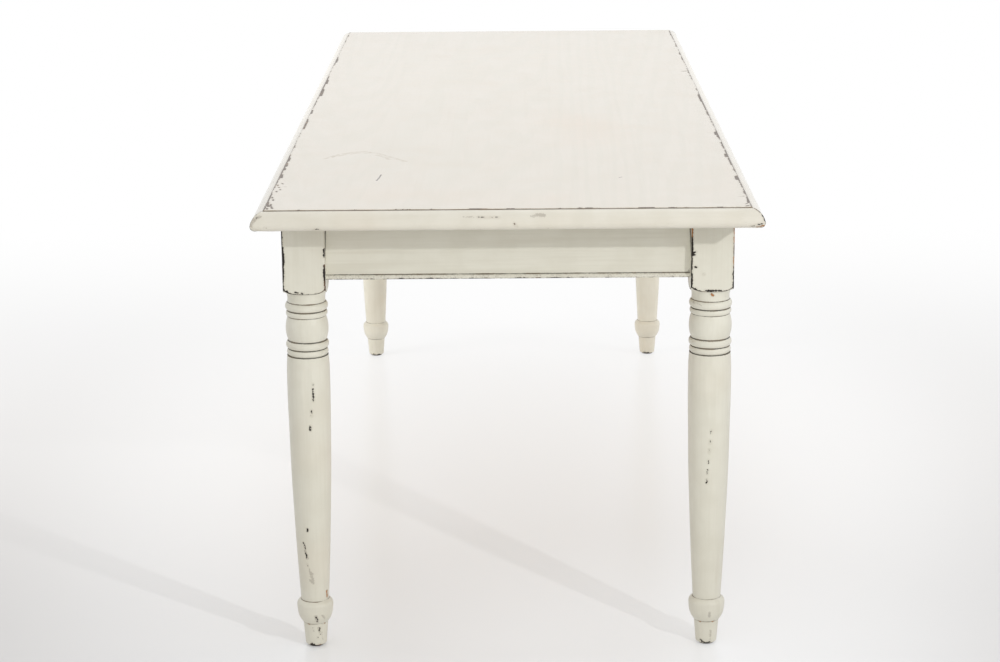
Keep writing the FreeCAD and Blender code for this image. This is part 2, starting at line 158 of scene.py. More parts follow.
def cloud(place, scale, detail=2.0, stretch=(1.0, 1.0, 1.0), shift=0.0):
    # noise about 0.5, with cells of 1/scale metres, drawn out where stretch is under 1
    inputs = {"Vector": place, "Location": (shift,) * 3, "Scale": stretch}
    moved = place.node("ShaderNodeMapping", inputs=inputs)
    return place.node("ShaderNodeTexNoise", inputs={"Vector": moved, "Scale": scale, "Detail": detail})


def drawnCloud(place, axis, stretch, scale, detail=2.0, shift=0.0):
    # the same, drawn out along one axis
    return cloud(place, scale, detail, tuple(stretch if i == axis else 1.0 for i in range(3)), shift)


def field(start, name):
    return start.node("ShaderNodeAttribute", {"attribute_name": name}, out="Fac")


# worn paint: cream over a dark undercoat, and wood below that
paintLook = {
    "paint": srgb(226, 224, 212),
    "paintShade": srgb(215, 212, 198),
    "paintStain": srgb(221, 208, 189),
    # grime round worn places, and painted shade that darkens the paint towards the floor
    "grimeAndShade": srgb(160, 150, 130),
    # dark dirt, also used as painted shade in the aprons' quirks and corners
    "quirkDirtAndShade": srgb(104, 88, 66),
    "undercoat": srgb(34, 28, 24),
    "oldBrown": srgb(96, 68, 47),
    "bareWood": srgb(172, 120, 76),
    "rubbed": srgb(128, 117, 106),
    "roughness": 0.42,
    "coat": 0.0,
    "coatRoughness": 0.12,
    "mottleScale": 24.0,  # scales are cells to the metre
    "brushScale": 280.0,
    "sweepScale": 62.0,
    "stainScale": 5.0,
    "toneScale": 38.0,
    "gritScale": 900.0,
    "edgePatch": 9.0,     # worn stretches to the metre
    "biteScale": 105.0,   # bites out of the paint to the metre, and the finer rags of their outline
    "ragScale": 420.0,
    "edgeSwing": 7.0,     # mm that the worn edge comes and goes by at each of the three sizes
    "edgeBite": 6.0,
    "edgeRag": 4.5,
    "chipBite": 1.6,
    "chipRag": 3.2,
    "scuffRag": 1.8,      # how much more ragged scuffs are than chips
    "dirtAndShadeBreak": 1.8,
    "mottleShare": 0.45,
    "stainShare": 0.3,
    "streaks": 0.16,
    "lowGrimeAndShade": 0.26,       # grime and painted shade, darker towards the floor
    "lowGrimeAndShadeReach": (0.72, -0.1),   # metres of level between which it sets in
    "haloShare": 0.22,
    "rubbedShare": 0.42,
    "dirtAndShadeShare": 0.85,
    "bump": 0.8,
    "brushed": 0.07,      # mm of brush mark
    "uneven": 0.12,       # mm of filler and sanding below the paint
    "grit": 0.02,         # mm of dust in the paint
    "paintFilm": 0.3,     # mm of paint that a chip goes through
    "grainRelief": 0.12,  # mm of grain where the wood is bare
}

# planed softwood
timberLook = {
    "ringScale": 26.0,
    "ringStretch": 0.07,
    "ringCount": 9.0,     # year rings in the whole swing of the noise
    "fibreScale": 620.0,
    "fibreStretch": 0.02,
    "ringShare": 0.62,
    "fibreShare": 0.38,
    "backLight": srgb(219, 194, 154),   # unpainted sides of the painted pieces
    "backDark": srgb(194, 160, 116),
    "light": srgb(217, 188, 146),       # pieces that were never painted
    "dark": srgb(188, 150, 106),
    "aged": srgb(160, 126, 90),
    "relief": 0.16,
}


def woodColour(place, axis, light, dark, shift=0.0):
    # drawn out year rings and fine fibres
    look = timberLook
    rings = drawnCloud(place, axis, look["ringStretch"], look["ringScale"], 4.0, shift)
    fibres = drawnCloud(place, axis, look["fibreStretch"], look["fibreScale"], 2.0, shift)
    tone = (rings * look["ringCount"]).maths("FRACT") * look["ringShare"] + fibres * look["fibreShare"]
    return tone.smooth(0.2, 0.85).blend(light, dark), tone


def cleanPaint(place, axis, look, mottle, brush):
    # brushed cream with faint stains, and grime and painted shade towards the floor
    sweep = drawnCloud(place, axis, 0.06, look["sweepScale"], 2.0, 2.2)
    stain = cloud(place, look["stainScale"], 2.0, shift=9.4)
    level = place.node("ShaderNodeSeparateXYZ", inputs={0: place}, out="Z")
    colour = (mottle.smooth(0.35, 0.7) * look["mottleShare"]).blend(look["paint"], look["paintShade"])
    colour = (brush.smooth(0.42, 0.72) * look["streaks"]).blend(colour, look["paintShade"])
    colour = (sweep.smooth(0.54, 0.74) * look["streaks"] * 2.0).blend(colour, look["paintShade"])
    colour = (stain.smooth(0.5, 0.8) * look["stainShare"]).blend(colour, look["paintStain"])
    return (level.smooth(*look["lowGrimeAndShadeReach"]) * look["lowGrimeAndShade"]).blend(colour, look["grimeAndShade"])


def wornPaint(place, look, colour, bite, rag):
    # fields are millimetres into a worn place, and below zero outside it
    slow = cloud(place, look["edgePatch"], 2.0, shift=3.1)
    tone = cloud(place, look["toneScale"], 2.0, shift=7.7)
    edge = field(place, "arris") + (slow - 0.5) * look["edgeSwing"] + (bite - 0.5) * look["edgeBite"]
    edge = edge + (rag - 0.5) * look["edgeRag"]
    ragged = (bite - 0.5) * look["chipBite"] + (rag - 0.5) * look["chipRag"]
    chip = field(place, "chip") + ragged
    bareChip = field(place, "bareChip") + ragged
    rubbed = field(place, "scuff") + ragged * look["scuffRag"]
    dirt = field(place, "dirt") + (tone - 0.5) * look["dirtAndShadeBreak"] + (rag - 0.5)
    worst = edge.maths("MAXIMUM", chip).maths("MAXIMUM", bareChip)
    worn = worst.smooth(-0.15, 0.15)

    colour = (worst.smooth(-3.5, 0.4) * look["haloShare"]).blend(colour, look["grimeAndShade"])
    colour = (rubbed.smooth(-0.8, 1.4) * look["rubbedShare"]).blend(colour, look["rubbed"])
    # dirt, and painted shade where the aprons meet the bead and the legs
    soilAndShade = tone.smooth(0.4, 0.62).blend(look["undercoat"], look["quirkDirtAndShade"])
    colour = (dirt.smooth(-0.35, 0.3) * look["dirtAndShadeShare"]).blend(colour, soilAndShade)
    under = tone.smooth(0.57, 0.7).blend(look["undercoat"], look["oldBrown"])
    under = bareChip.smooth(-0.2, 0.5).blend(under, look["bareWood"])
    return worn.blend(colour, under), worn


def paintedWood(name, axis, marks=None, **changes):
    look = {**paintLook, **changes}
    material, start, place = newMaterial(name)
    mottle = cloud(place, look["mottleScale"], 4.0)
    brush = drawnCloud(place, axis, 0.03, look["brushScale"], 3.0)
    bite = cloud(place, look["biteScale"], 3.0, shift=5.3)
    rag = cloud(place, look["ragScale"], 5.0)
    colour = cleanPaint(place, axis, look, mottle, brush)
    if marks:
        colour = marks(place, colour, bite, rag)
    colour, worn = wornPaint(place, look, colour, bite, rag)
    bareSide = (field(start, "bare") + (rag - 0.5) * 0.5).smooth(0.42, 0.58)
    timber, grain = woodColour(place, axis, timberLook["backLight"], timberLook["backDark"])
    colour = bareSide.blend(colour, timber)

    relief = brush * look["brushed"] + mottle * look["uneven"]
    relief = relief + cloud(place, look["gritScale"]) * look["grit"] - worn * look["paintFilm"]
    relief = relief + grain * bareSide * look["grainRelief"]
    roughness = look["roughness"] + (mottle - 0.5) * 0.14 + worn * 0.3 + bareSide * 0.2
    closeMaterial(start, Base_Color=colour, Roughness=roughness, Normal=bumped(start, relief, look["bump"]),
                  IOR=1.46, Coat_Weight=look["coat"], Coat_Roughness=look["coatRoughness"])
    return material


def bareTimber(name, turn):
    # turn is the angle of the grain from X, degrees
    look = timberLook
    material, start, place = newMaterial(name)
    turning = {"Vector": place, "Rotation": (0, 0, -math.radians(turn))}
    turned = start.node("ShaderNodeMapping", inputs=turning)
    colour, tone = woodColour(turned, 0, look["light"], look["dark"], 2.3)
    age = cloud(place, 11.0, 3.0).smooth(0.35, 0.8) * 0.4
    colour = age.blend(colour, look["aged"])
    normal = bumped(start, tone * look["relief"], 0.9)
    closeMaterial(start, Base_Color=colour, Roughness=0.62 + tone * 0.18, Normal=normal, IOR=1.45)
    return material


def zincSteel():
    material, start, place = newMaterial("zincSteel")
    spangle = cloud(place, 240.0, 3.0)
    dull = cloud(place, 60.0, 2.0, shift=4.0)
    colour = dull.smooth(0.4, 0.75).blend(srgb(196, 194, 186), srgb(150, 140, 120))
    normal = bumped(start, spangle * 0.05)
    closeMaterial(start, Base_Color=colour, Metallic=1.0, Roughness=0.28 + dull * 0.25, Normal=normal)
    return material


def darkNylon():
    material, start, place = newMaterial("darkNylon")
    scuff = cloud(place, 210.0, 4.0).smooth(0.52, 0.7)
    colour = (scuff * 0.6).blend(srgb(44, 37, 33), srgb(104, 92, 82))
    normal = bumped(start, cloud(place, 700.0) * 0.08)
    closeMaterial(start, Base_Color=colour, Roughness=0.48 + scuff * 0.25, Normal=normal, IOR=1.5)
    return material


# marks on the painted top, x and y in millimetres
topMarks = {
    "scratch": ((800, -216), (776, -213), (748, -211)),
    "arcs": (
        ((598, -315), (566, -297), (541, -272), (534, -250)),
        ((538, -246), (553, -228), (574, -213), (606, -193), (631, -176)),
        ((588, -306), (561, -282), (549, -262), (549, -240)),
        ((570, -228), (592, -212), (612, -204)),
    ),
    "tick": ((788, 184), (784, 188)),
    # stains with their reach
    "stains": (
        (230, 117, 120), (318, 142, 150), (442, 147, 130), (935, -80, 110), (960, 60, 90), (905, -190, 100),
    ),
    "stain": srgb(232, 209, 189),
    "stainShare": 0.13,
    "ink": srgb(72, 62, 56),
    "inkShare": 0.85,
    "arcInk": srgb(176, 158, 128),
    "arcShare": 0.42,
    "boardWidth": 152.2,
    "figure": 0.22,       # how far the grain shows through the paint
    "figureStretch": (0.085, 1.0, 0.0),
    "figureWaves": {"Scale": 17.0, "Distortion": 5.0, "Detail": 3.0, "Detail Scale": 1.4},
}


def lineGap(place, spots):
    # millimetres to a line drawn through spots on the top
    flat = place.vector("MULTIPLY", (1.0, 1.0, 0.0))
    best = None
    for a, b in zip(spots, spots[1:]):
        start = Vector((*a, 0)) * mm
        along = Vector((*b, 0)) * mm - start
        offset = flat.vector("SUBTRACT", start)
        share = offset.vector("DOT_PRODUCT", along / along.length_squared, out="Value")
        share = share.node("ShaderNodeClamp", inputs={"Value": share})
        foot = share.node("ShaderNodeVectorMath", {"operation": "SCALE"}, {0: along, "Scale": share})
        gap = offset.vector("DISTANCE", foot, out="Value")
        best = best.maths("MINIMUM", gap) if best else gap
    return best / mm


def drawTopMarks(place, colour, bite, rag):
    marks = topMarks
    # year rings of the boards below, faint through the paint
    across = place.node("ShaderNodeSeparateXYZ", inputs={0: place}, out="Y")
    board = (across / (marks["boardWidth"] * mm) + 0.5).maths("FLOOR")
    chance = board.node("ShaderNodeTexWhiteNoise", {"noise_dimensions": "1D"}, {"W": board}, "Color")
    drawn = place.vector("MULTIPLY_ADD", marks["figureStretch"], chance)
    rings = {"wave_type": "RINGS", "rings_direction": "SPHERICAL"}
    figure = drawn.node("ShaderNodeTexWave", rings, {"Vector": drawn, **marks["figureWaves"]})
    figure = figure.node("ShaderNodeSeparateColor", inputs={0: figure}).smooth(0.3, 0.9)
    colour = (figure * marks["figure"]).blend(colour, paintLook["paintShade"])
    for x, y, reach in marks["stains"]:
        away = place.vector("DISTANCE", (x * mm, y * mm, cadBox[1][2]), out="Value") / (reach * mm)
        soak = (away + (bite - 0.5) * 0.5).smooth(1.0, 0.1) * marks["stainShare"]
        colour = soak.blend(colour, marks["stain"])
    wander = (rag - 0.5) * 5.0 + (bite - 0.5) * 3.0
    for line in marks["arcs"]:
        trace = (lineGap(place, line) + wander).smooth(7.0, 1.0) * bite.smooth(0.3, 0.62)
        colour = (trace * marks["arcShare"]).blend(colour, marks["arcInk"])
    for line in (marks["scratch"], marks["tick"]):
        trace = (lineGap(place, line) + wander * 0.4).smooth(1.9, 0.7)
        colour = (trace * marks["inkShare"]).blend(colour, marks["ink"])
    return colour


topPaint = paintedWood(
    "topPaint", 0, drawTopMarks, roughness=0.2, paint=srgb(226, 219, 207), paintShade=srgb(220, 212, 198),
    undercoat=srgb(122, 112, 104), oldBrown=srgb(152, 135, 119), haloShare=0.3, edgePatch=24.0,
    edgeSwing=13.0, edgeBite=8.0, edgeRag=5.0, brushed=0.02, uneven=0.02, grit=0.003, bump=0.4)
# the end mouldings have a darker copy of the moulding paint, a painted shade
endEdgePaint = paintedWood(
    "endEdgePaint", 1, roughness=0.38, paint=srgb(221, 217, 206), paintShade=srgb(209, 204, 190))
sideEdgePaint = paintedWood(
    "sideEdgePaint", 0, roughness=0.28, coat=0.5, bump=0.4, paint=srgb(224, 218, 205),
    paintShade=srgb(213, 206, 191))
endRailPaint = paintedWood("endRailPaint", 1, streaks=0.36, stainShare=0.12)
sideRailPaint = paintedWood("sideRailPaint", 0, streaks=0.36, stainShare=0.12)
legPaint = paintedWood("legPaint", 2, streaks=0.26, chipBite=2.4, chipRag=4.6)
steel = zincSteel()
nylon = darkNylon()
print("materials:", len(bpy.data.materials))


def points(mesh):
    flat = np.empty(len(mesh.vertices) * 3, np.float32)
    mesh.vertices.foreach_get("co", flat)
    return flat.reshape(-1, 3).astype(float)


def setPoints(mesh, places):
    mesh.vertices.foreach_set("co", places.astype(np.float32).ravel())
    mesh.update()


def segmentGap(places, start, end):
    # metres from each place to a straight stroke
    start, end = np.array(start, float), np.array(end, float)
    along = end - start
    length = max(along @ along, 1e-12)
    share = np.clip((places - start) @ along / length, 0, 1)
    return np.linalg.norm(places - start - share[:, None] * along, axis=1)


def strokeField(places, strokes):
    # strokes are (start, end, radius) in metres, and the field is millimetres inside the nearest one
    best = np.full(len(places), unworn)
    for start, end, radius in strokes:
        best = np.maximum(best, (radius - segmentGap(places, start, end)) / mm)
    return best


def setFields(mesh, **fields):
    for name in ("arris", "chip", "bareChip", "scuff", "dirt", "bare"):
        layer = mesh.attributes.new(name, "FLOAT", "POINT")
        rest = 0.0 if name == "bare" else unworn
        values = np.broadcast_to(fields.get(name, rest), len(mesh.vertices))
        layer.data.foreach_set("value", np.ascontiguousarray(values, np.float32))


def lowered(mesh, depthField, share, most):
    # sinks worn places along the normal, by a share of how deep they are in a stroke
    normals = np.empty(len(mesh.vertices) * 3, np.float32)
    mesh.vertices.foreach_get("normal", normals)
    depth = np.clip(depthField * share, 0, most) * mm
    setPoints(mesh, points(mesh) - normals.reshape(-1, 3) * depth[:, None])


def closedMesh(name, vertices, faces):
    mesh = bpy.data.meshes.new(name)
    mesh.from_pydata([tuple(v) for v in vertices], [], faces)
    tidyMesh(mesh)
    return mesh


def shadeSmooth(mesh):
    for polygon in mesh.polygons:
        polygon.use_smooth = True
    mesh.set_sharp_from_angle(angle=math.radians(sharpAngle))


def tidyMesh(mesh):
    work = bmesh.new()
    work.from_mesh(mesh)
    bmesh.ops.remove_doubles(work, verts=work.verts, dist=mergeReach)
    bmesh.ops.recalc_face_normals(work, faces=work.faces)
    work.to_mesh(mesh)
    work.free()
    shadeSmooth(mesh)


def loft(name, rings):
    # skin over a row of closed rings with as many points each, capped at both ends
    rings = np.asarray(rings, float)
    count, size = rings.shape[:2]
    faces = []
    for i in range(count - 1):
        for j in range(size):
            k = (j + 1) % size
            faces.append((i * size + j, i * size + k, (i + 1) * size + k, (i + 1) * size + j))
    faces.append(tuple(range(size))[::-1])
    faces.append(tuple(range((count - 1) * size, count * size)))
    return closedMesh(name, rings.reshape(-1, 3), faces)


def arcThrough(start, middle, end, count):
    # points of the circle through three points in a plane
    (ax, ay), (bx, by), (cx, cy) = start, middle, end
    d = 2 * (ax * (by - cy) + bx * (cy - ay) + cx * (ay - by))
    a2, b2, c2 = ax * ax + ay * ay, bx * bx + by * by, cx * cx + cy * cy
    ux = (a2 * (by - cy) + b2 * (cy - ay) + c2 * (ay - by)) / d
    uy = (a2 * (cx - bx) + b2 * (ax - cx) + c2 * (bx - ax)) / d
    whole = 2 * math.pi
    first = math.atan2(ay - uy, ax - ux)
    turn = (math.atan2(cy - uy, cx - ux) - first) % whole
    halfway = (math.atan2(by - uy, bx - ux) - first) % whole
    if halfway > turn:
        turn -= whole
    radius = math.hypot(ax - ux, ay - uy)
    angles = [first + turn * i / (count - 1) for i in range(count)]
    return [(ux + radius * math.cos(a), uy + radius * math.sin(a)) for a in angles]


def handOver(piece, material, slot, *replaced):
    piece.data.materials.clear()
    piece.data.materials.append(material)
    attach(piece, "root")
    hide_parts(*replaced)


def newPiece(name, mesh):
    piece = bpy.data.objects.new(name, mesh)
    bpy.context.scene.collection.objects.link(piece)
    return piece


def wobble(places, scale, amount):
    # gentle unevenness, 0 to amount
    return np.array([(noise.noise(Vector(p) * scale) + 1) / 2 for p in places]) * amount


# the top: edge-glued boards, painted as one face
topBoards = {
    "count": 5,
    "arrisRadius": 1.1,
    "jointChamfer": 0.8,
    "stations": 4.0,      # mm between rings along a board
    "innerStations": 45.0,   # the same on boards without an outer arris
    "rows": 6.0,          # mm between points across it
    "underRows": 30.0,    # and across its underside
    "riser": 8.0,         # mm below the top at which the edge has another row of points
    "endShares": (0.0, 0.08, 0.3, 0.62, 1.0),   # of the arris radius, for the rings at the ends
    "edgeRows": (0.0, 1.0, 2.2, 3.6, 5.2, 7.0, 9.0, 12.0, 15.0, 19.0, 24.0, 30.0),
    "chipSink": (0.25, 0.5),   # share of a chip's depth that the wood is lower, and the most in mm
    "cleanDepth": 0.6,    # mm below the top where the dirt begins
    "dirtGain": 6.0,
    "paintFade": 40.0,    # mm over which the paint of the underside gives out
    # mm of wear inward from each arris
    "edgeBias": {"left": 1.0, "right": 1.4, "near": -1.6, "far": -1.2},
    # chips as mm along the edge and in from its arris, to the same, and radius
    "chips": {
        "left": (
            (905, 1, 968, 1, 1.8), (968, 2, 988, 3, 2.2), (992, 4, 1004, 6, 2.6), (1000, 1, 1027, 1, 1.4),
            (985, 8, 1002, 10, 1.6), (1008, 11, 1020, 14, 1.8), (1016, 5, 1024, 6, 2.0),
            (948, 8, 957, 9, 1.6), (930, 5, 938, 6, 1.8), (880, 7, 888, 8, 1.6),
            (866, 12, 872, 13, 1.5), (846, 7, 852, 9, 1.6),
            (842, 17, 847, 18, 1.3), (828, 4, 836, 5, 1.7), (814, 10, 822, 12, 1.6), (560, 1, 785, 1, 1.5),
            (590, 3, 622, 3, 1.8), (640, 3, 668, 4, 1.9), (684, 3, 700, 4, 1.8), (742, 3, 770, 5, 2.2),
            (-342, 1, -77, 1, 2.2), (-290, 3, -240, 4, 2.8), (-165, 3, -85, 4, 3.4), (-600, 1, -540, 2, 3.2),
            (90, 1, 130, 2, 2.6), (210, 2, 300, 2, 2.2),
        ),
        "right": (
            (-380, 0, -374, 14, 2.4), (-60, 2, 25, 2, 3.0), (25, 1, 124, 1, 2.0), (365, 3, 392, 4, 3.2),
            (470, 1, 530, 1, 2.2), (582, 3, 610, 4, 3.2), (620, 1, 685, 1, 2.4), (783, 3, 812, 4, 3.0),
            (949, 6, 951, 13, 1.8), (978, 2, 1000, 3, 2.0), (1006, 6, 1010, 9, 1.7), (1020, 4, 1026, 9, 2.0),
            (-960, 1, -930, 1, 2.2),
        ),
        "near": (
            (-233, 0, -231, 2, 1.8), (-172, 0, -170, 3, 2.2), (-118, 0, -116, 3, 1.8), (112, 0, 114, 3, 2.6),
            (122, 0, 134, 2, 2.2), (205, 0, 228, 1, 1.6), (-30, 0, -60, 1, 1.4),
        ),
    },
}


def spaced(low, high, step):
    return list(np.linspace(low, high, max(2, round((high - low) / step) + 1)))


def boardRows(low, high, step, edgeLow, edgeHigh):
    # points across a board's face, closer together along an outer arris
    offsets = [d * mm for d in topBoards["edgeRows"]]
    start = [low + d for d in offsets] if edgeLow else [low]
    stop = [high - d for d in reversed(offsets)] if edgeHigh else [high]
    return start[:-1] + spaced(start[-1], stop[0], step) + stop[1:]


def boardStations(half, outer):
    # rings along a board, closer together at its ends
    radius = topBoards["arrisRadius"] * mm
    ends = [radius * s for s in topBoards["endShares"]] + [d * mm for d in topBoards["edgeRows"][2:]]
    step = topBoards["stations" if outer else "innerStations"] * mm
    made = [-half + d for d in ends[:-1]]
    made += spaced(-half + ends[-1], half - ends[-1], step)
    return made + [half - d for d in reversed(ends[:-1])]


def boardSection(low, high, lowZ, topZ, first, last):
    # outline across a board, with a round arris where it is the first or the last one
    radius, chamfer = topBoards["arrisRadius"] * mm, topBoards["jointChamfer"] * mm
    section = [(y, topZ) for y in boardRows(low, high, topBoards["rows"] * mm, first, last)]
    quarter = [math.pi / 2 * i / 4 for i in range(5)]
    arris = [(radius * (1 - math.sin(a)), topZ - radius * (1 - math.cos(a))) for a in quarter]
    if first:
        section = [(low + inward, z) for inward, z in arris[::-1]] + section[2:]
    if last:
        section = section[:-2] + [(high - inward, z) for inward, z in arris]
    riser = topZ - topBoards["riser"] * mm
    section += [(high, riser), (high, lowZ + chamfer), (high - chamfer, lowZ)]
    under = spaced(low + chamfer, high - chamfer, topBoards["underRows"] * mm)
    section += [(y, lowZ) for y in under[::-1][1:]]
    return section + [(low, lowZ + chamfer), (low, riser)]


def topBoard(index):
    node = "top_board_%d" % (index + 1)
    low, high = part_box(node)
    half, lowZ, topZ = high.x, low.z, high.z
    last = topBoards["count"] - 1
    # the tongue makes the node wider than its face, so the face is a share of the whole width
    fieldLow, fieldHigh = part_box("top_board_1")[0].y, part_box("top_board_%d" % (last + 1))[1].y
    faceHigh = low.y + (fieldHigh - fieldLow) / topBoards["count"]
    section = boardSection(low.y, faceHigh, lowZ, topZ, index == 0, index == last)
    radius = topBoards["arrisRadius"] * mm
    rings = []
    for x in boardStations(half, index in (0, last)):
        inset = max(0.0, radius - (half - abs(x)))
        drop = radius - math.sqrt(max(0.0, radius ** 2 - inset ** 2))
        rings.append([(x, y, z - drop * (z - lowZ) / (topZ - lowZ)) for y, z in section])
    mesh = loft(node + "_painted", rings)
    dressBoard(mesh, fieldLow, fieldHigh, half, topZ, lowZ)
    handOver(newPiece(node + "_painted", mesh), topPaint, "painted_wood", node)


def dressBoard(mesh, fieldLow, fieldHigh, half, topZ, lowZ):
    spots = points(mesh)
    bias = topBoards["edgeBias"]
    edges = (
        ((-half, fieldLow), (half, fieldLow), bias["left"]),
        ((-half, fieldHigh), (half, fieldHigh), bias["right"]),
        ((half, fieldLow), (half, fieldHigh), bias["near"]),
        ((-half, fieldLow), (-half, fieldHigh), bias["far"]),
    )
    arris = [((*a, topZ), (*b, topZ), width * mm) for a, b, width in edges]
    # along and in from an arris, to a place on the top
    onTop = {
        "left": lambda along, inward: (along * mm, fieldLow + inward * mm, topZ),
        "right": lambda along, inward: (along * mm, fieldHigh - inward * mm, topZ),
        "near": lambda along, inward: (half - inward * mm, along * mm, topZ),
    }
    chips = []
    for side, strokes in topBoards["chips"].items():
        chips += [(onTop[side](a, b), onTop[side](c, d), r * mm) for a, b, c, d, r in strokes]
    chipDepth = strokeField(spots, chips)
    lowered(mesh, chipDepth, *topBoards["chipSink"])
    # the riser under the arris holds dirt, and of the underside only the rim outside the aprons was painted
    dirt = ((topZ - spots[:, 2]) / mm - topBoards["cleanDepth"]) * topBoards["dirtGain"]
    endLine = sum(corner.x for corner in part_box("end_apron_near")) / 2
    sideLine = sum(corner.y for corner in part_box("long_apron_right")) / 2
    inside = np.minimum(endLine - abs(spots[:, 0]), sideLine - abs(spots[:, 1]))
    bare = np.clip(0.5 + inside / (topBoards["paintFade"] * mm), 0, 1)
    bare = np.where(spots[:, 2] < lowZ + 2 * mm, bare, 0.0)
    setFields(mesh, arris=strokeField(spots, arris), chip=chipDepth, dirt=dirt, bare=bare)


for boardIndex in range(topBoards["count"]):
    topBoard(boardIndex)
print("top boards laid:", topBoards["count"])


# the moulded edge: four lengths, mitred at the corners
mouldingEdge = {
    "turns": {
        "end_moulding_near": 0, "end_moulding_far": 180, "side_moulding_right": 90, "side_moulding_left": 270,
    },
    "step": 2.0,          # mm below the boards
    "flat": 4.0,
    "ovoloMiddle": (0.6, 0.33),
    "underRadius": 10.0,
    "softness": 0.5,
    "inset": 0.02,        # mm inside the frame's box
    "stations": 5.0,
    "unevenness": 0.5,
    "unevenScale": 30.0,  # swells to the metre
    "lowWave": 1.1,
    "lowScale": 45.0,
    "lowReach": 6.0,      # mm up from the underside that its waves reach
    "cornerBias": {
        ("end_moulding_near", -1): 0.4, ("side_moulding_left", 1): 1.6, ("end_moulding_near", 1): 0.2,
    },
    "otherCorners": -0.2,
    "noseBias": -3.4,
    "lowBias": -0.9,
    "quirk": 1.0,         # mm of dirt beside the boards
    "chipSink": (0.3, 0.6),
    "levelReach": 1.6,    # mm of level within which the face beside a stroke is looked for
    # strokes on the near length: y, z to y, z and radius
    "chips": (
        (-46, 755, -42, 755, 1.2), (-37, 754.6, -33, 754.6, 1.2), (-29, 754.4, -22, 754.6, 1.3),
        (-17, 754.6, -13, 754.4, 1.2), (11, 745, 14, 740, 1.3), (-300, 737, -292, 737, 1.2),
        (386, 740, 397, 741.5, 1.2), (376, 737, 384, 738, 1.1), (397, 745, 398.6, 748, 1.3),
        (-386, 757, -389, 755.5, 1.2), (-394, 752, -396, 750, 1.3), (-398.6, 745, -399.4, 743.5, 1.4),
        (-398.5, 739, -397, 736, 1.5), (-390, 734.5, -384, 734, 1.3),
    ),
    "scuffs": (
        (-384, 758, -391, 755, 2.9), (-391, 755, -396, 750, 3.3), (-396, 750, -398.5, 743, 2.9),
        (-377, 742, -374, 740, 1.7), (45, 757.5, 57, 757, 3.6), (36, 756, 42, 755, 1.6),
        (-70, 755, -52, 755, 1.2), (60, 735, 64, 735, 1.4), (-60, 735, -40, 735, 1.2),
    ),
    "bareChips": ((392, 736.5, 398, 738.5, 1.8), (378, 735, 388, 735.6, 1.3), (-396, 750, -393, 753, 1.2)),
}


def mouldingSection(reach, topZ, lowZ):
    crown = topZ - mouldingEdge["step"] * mm
    flat = mouldingEdge["flat"] * mm
    under = mouldingEdge["underRadius"] * mm
    nose = lowZ + under
    across, down = mouldingEdge["ovoloMiddle"]
    middle = (flat + across * (reach - flat), crown - down * (crown - nose))
    half = under / math.sqrt(2)
    ovolo = arcThrough((flat, crown), middle, (reach, nose), 18)
    belly = arcThrough((reach, nose), (reach - under + half, nose - half), (reach - under, lowZ), 12)
    soft = mouldingEdge["softness"] * mm
    lead = [(0.0, crown), (flat * 0.5, crown), (flat - soft, crown), (flat, crown - soft * 0.25)]
    return lead + ovolo[1:] + belly[1:] + [(0.0, lowZ)]


def moulding(name, turn):
    low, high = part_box(name)
    along = 1 if "end" in name else 0
    boardLow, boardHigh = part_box("top_board_1")[0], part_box("top_board_5")[1]
    edge = boardHigh.x if along else boardHigh.y
    run = boardHigh.y if along else boardHigh.x
    outer = max(abs(high[1 - along]), abs(low[1 - along]))
    reach = outer - edge - mouldingEdge["inset"] * mm
    section = mouldingSection(reach, boardHigh.z, boardLow.z)
    rings = []
    for share in spaced(-1.0, 1.0, mouldingEdge["stations"] * mm / run):
        rings.append([(edge + u, share * (run + u), z) for u, z in section])
    mesh = loft(name + "_painted", rings)
    handWorked(mesh, edge, reach, boardLow.z)
    dressMoulding(mesh, edge, run, section, name)
    mesh.transform(Matrix.Rotation(math.radians(turn), 4, "Z"))
    paint = endEdgePaint if along else sideEdgePaint
    handOver(newPiece(name + "_painted", mesh), paint, "painted_wood", name)


def handWorked(mesh, edge, reach, lowZ):
    # unevenness, always inward, and least at the inner edge
    look = mouldingEdge
    spots = points(mesh)
    out = (spots[:, 0] - edge) / reach
    swells = wobble(spots * np.array((1, 0.4, 1)), look["unevenScale"], look["unevenness"] * mm)
    spots[:, 0] -= swells * out
    lowReach = look["lowReach"] * mm
    under = np.clip((lowZ + lowReach - spots[:, 2]) / lowReach, 0, 1) * np.clip(out * 4, 0, 1)
    waves = wobble(spots * np.array((0, 1, 0)) + 2.0, look["lowScale"], look["lowWave"] * mm)
    spots[:, 2] += waves * under
    setPoints(mesh, spots)


def dressMoulding(mesh, edge, run, section, name):
    look = mouldingEdge
    near = name == "end_moulding_near"
    spots = points(mesh)
    arris = []
    for side in (-1, 1):
        line = [(edge + u, side * (run + u), z) for u, z in section[:-1]]
        bias = look["cornerBias"].get((name, side), look["otherCorners"]) * mm
        arris += [(a, b, bias) for a, b in zip(line, line[1:])]
    for (u, z), bias in ((max(section), look["noseBias"]), (section[-2], look["lowBias"])):
        arris.append(((edge + u, -run, z), (edge + u, run, z), bias * mm))

    def onFace(along, level):
        # how far out the face is at a level is found from the section
        out = max(u for u, z in section if abs(z - level * mm) < look["levelReach"] * mm)
        return (edge + out, along * mm, level * mm)

    def wornField(kind):
        if not near:
            return unworn
        strokes = [(onFace(a, b), onFace(c, d), r * mm) for a, b, c, d, r in look[kind]]
        return strokeField(spots, strokes)

    chips, bareChips, scuffs = (wornField(kind) for kind in ("chips", "bareChips", "scuffs"))
    if near:
        lowered(mesh, np.maximum(chips, bareChips), *look["chipSink"])
    quirk = look["quirk"] - (spots[:, 0] - edge) / mm
    quirk = np.where(spots[:, 2] > section[0][1] - 0.5 * mm, quirk, unworn)
    setFields(mesh, arris=strokeField(spots, arris), chip=chips, bareChip=bareChips, scuff=scuffs, dirt=quirk)


for name, turn in mouldingEdge["turns"].items():
    moulding(name, turn)
print("mouldings mitred:", len(mouldingEdge["turns"]))


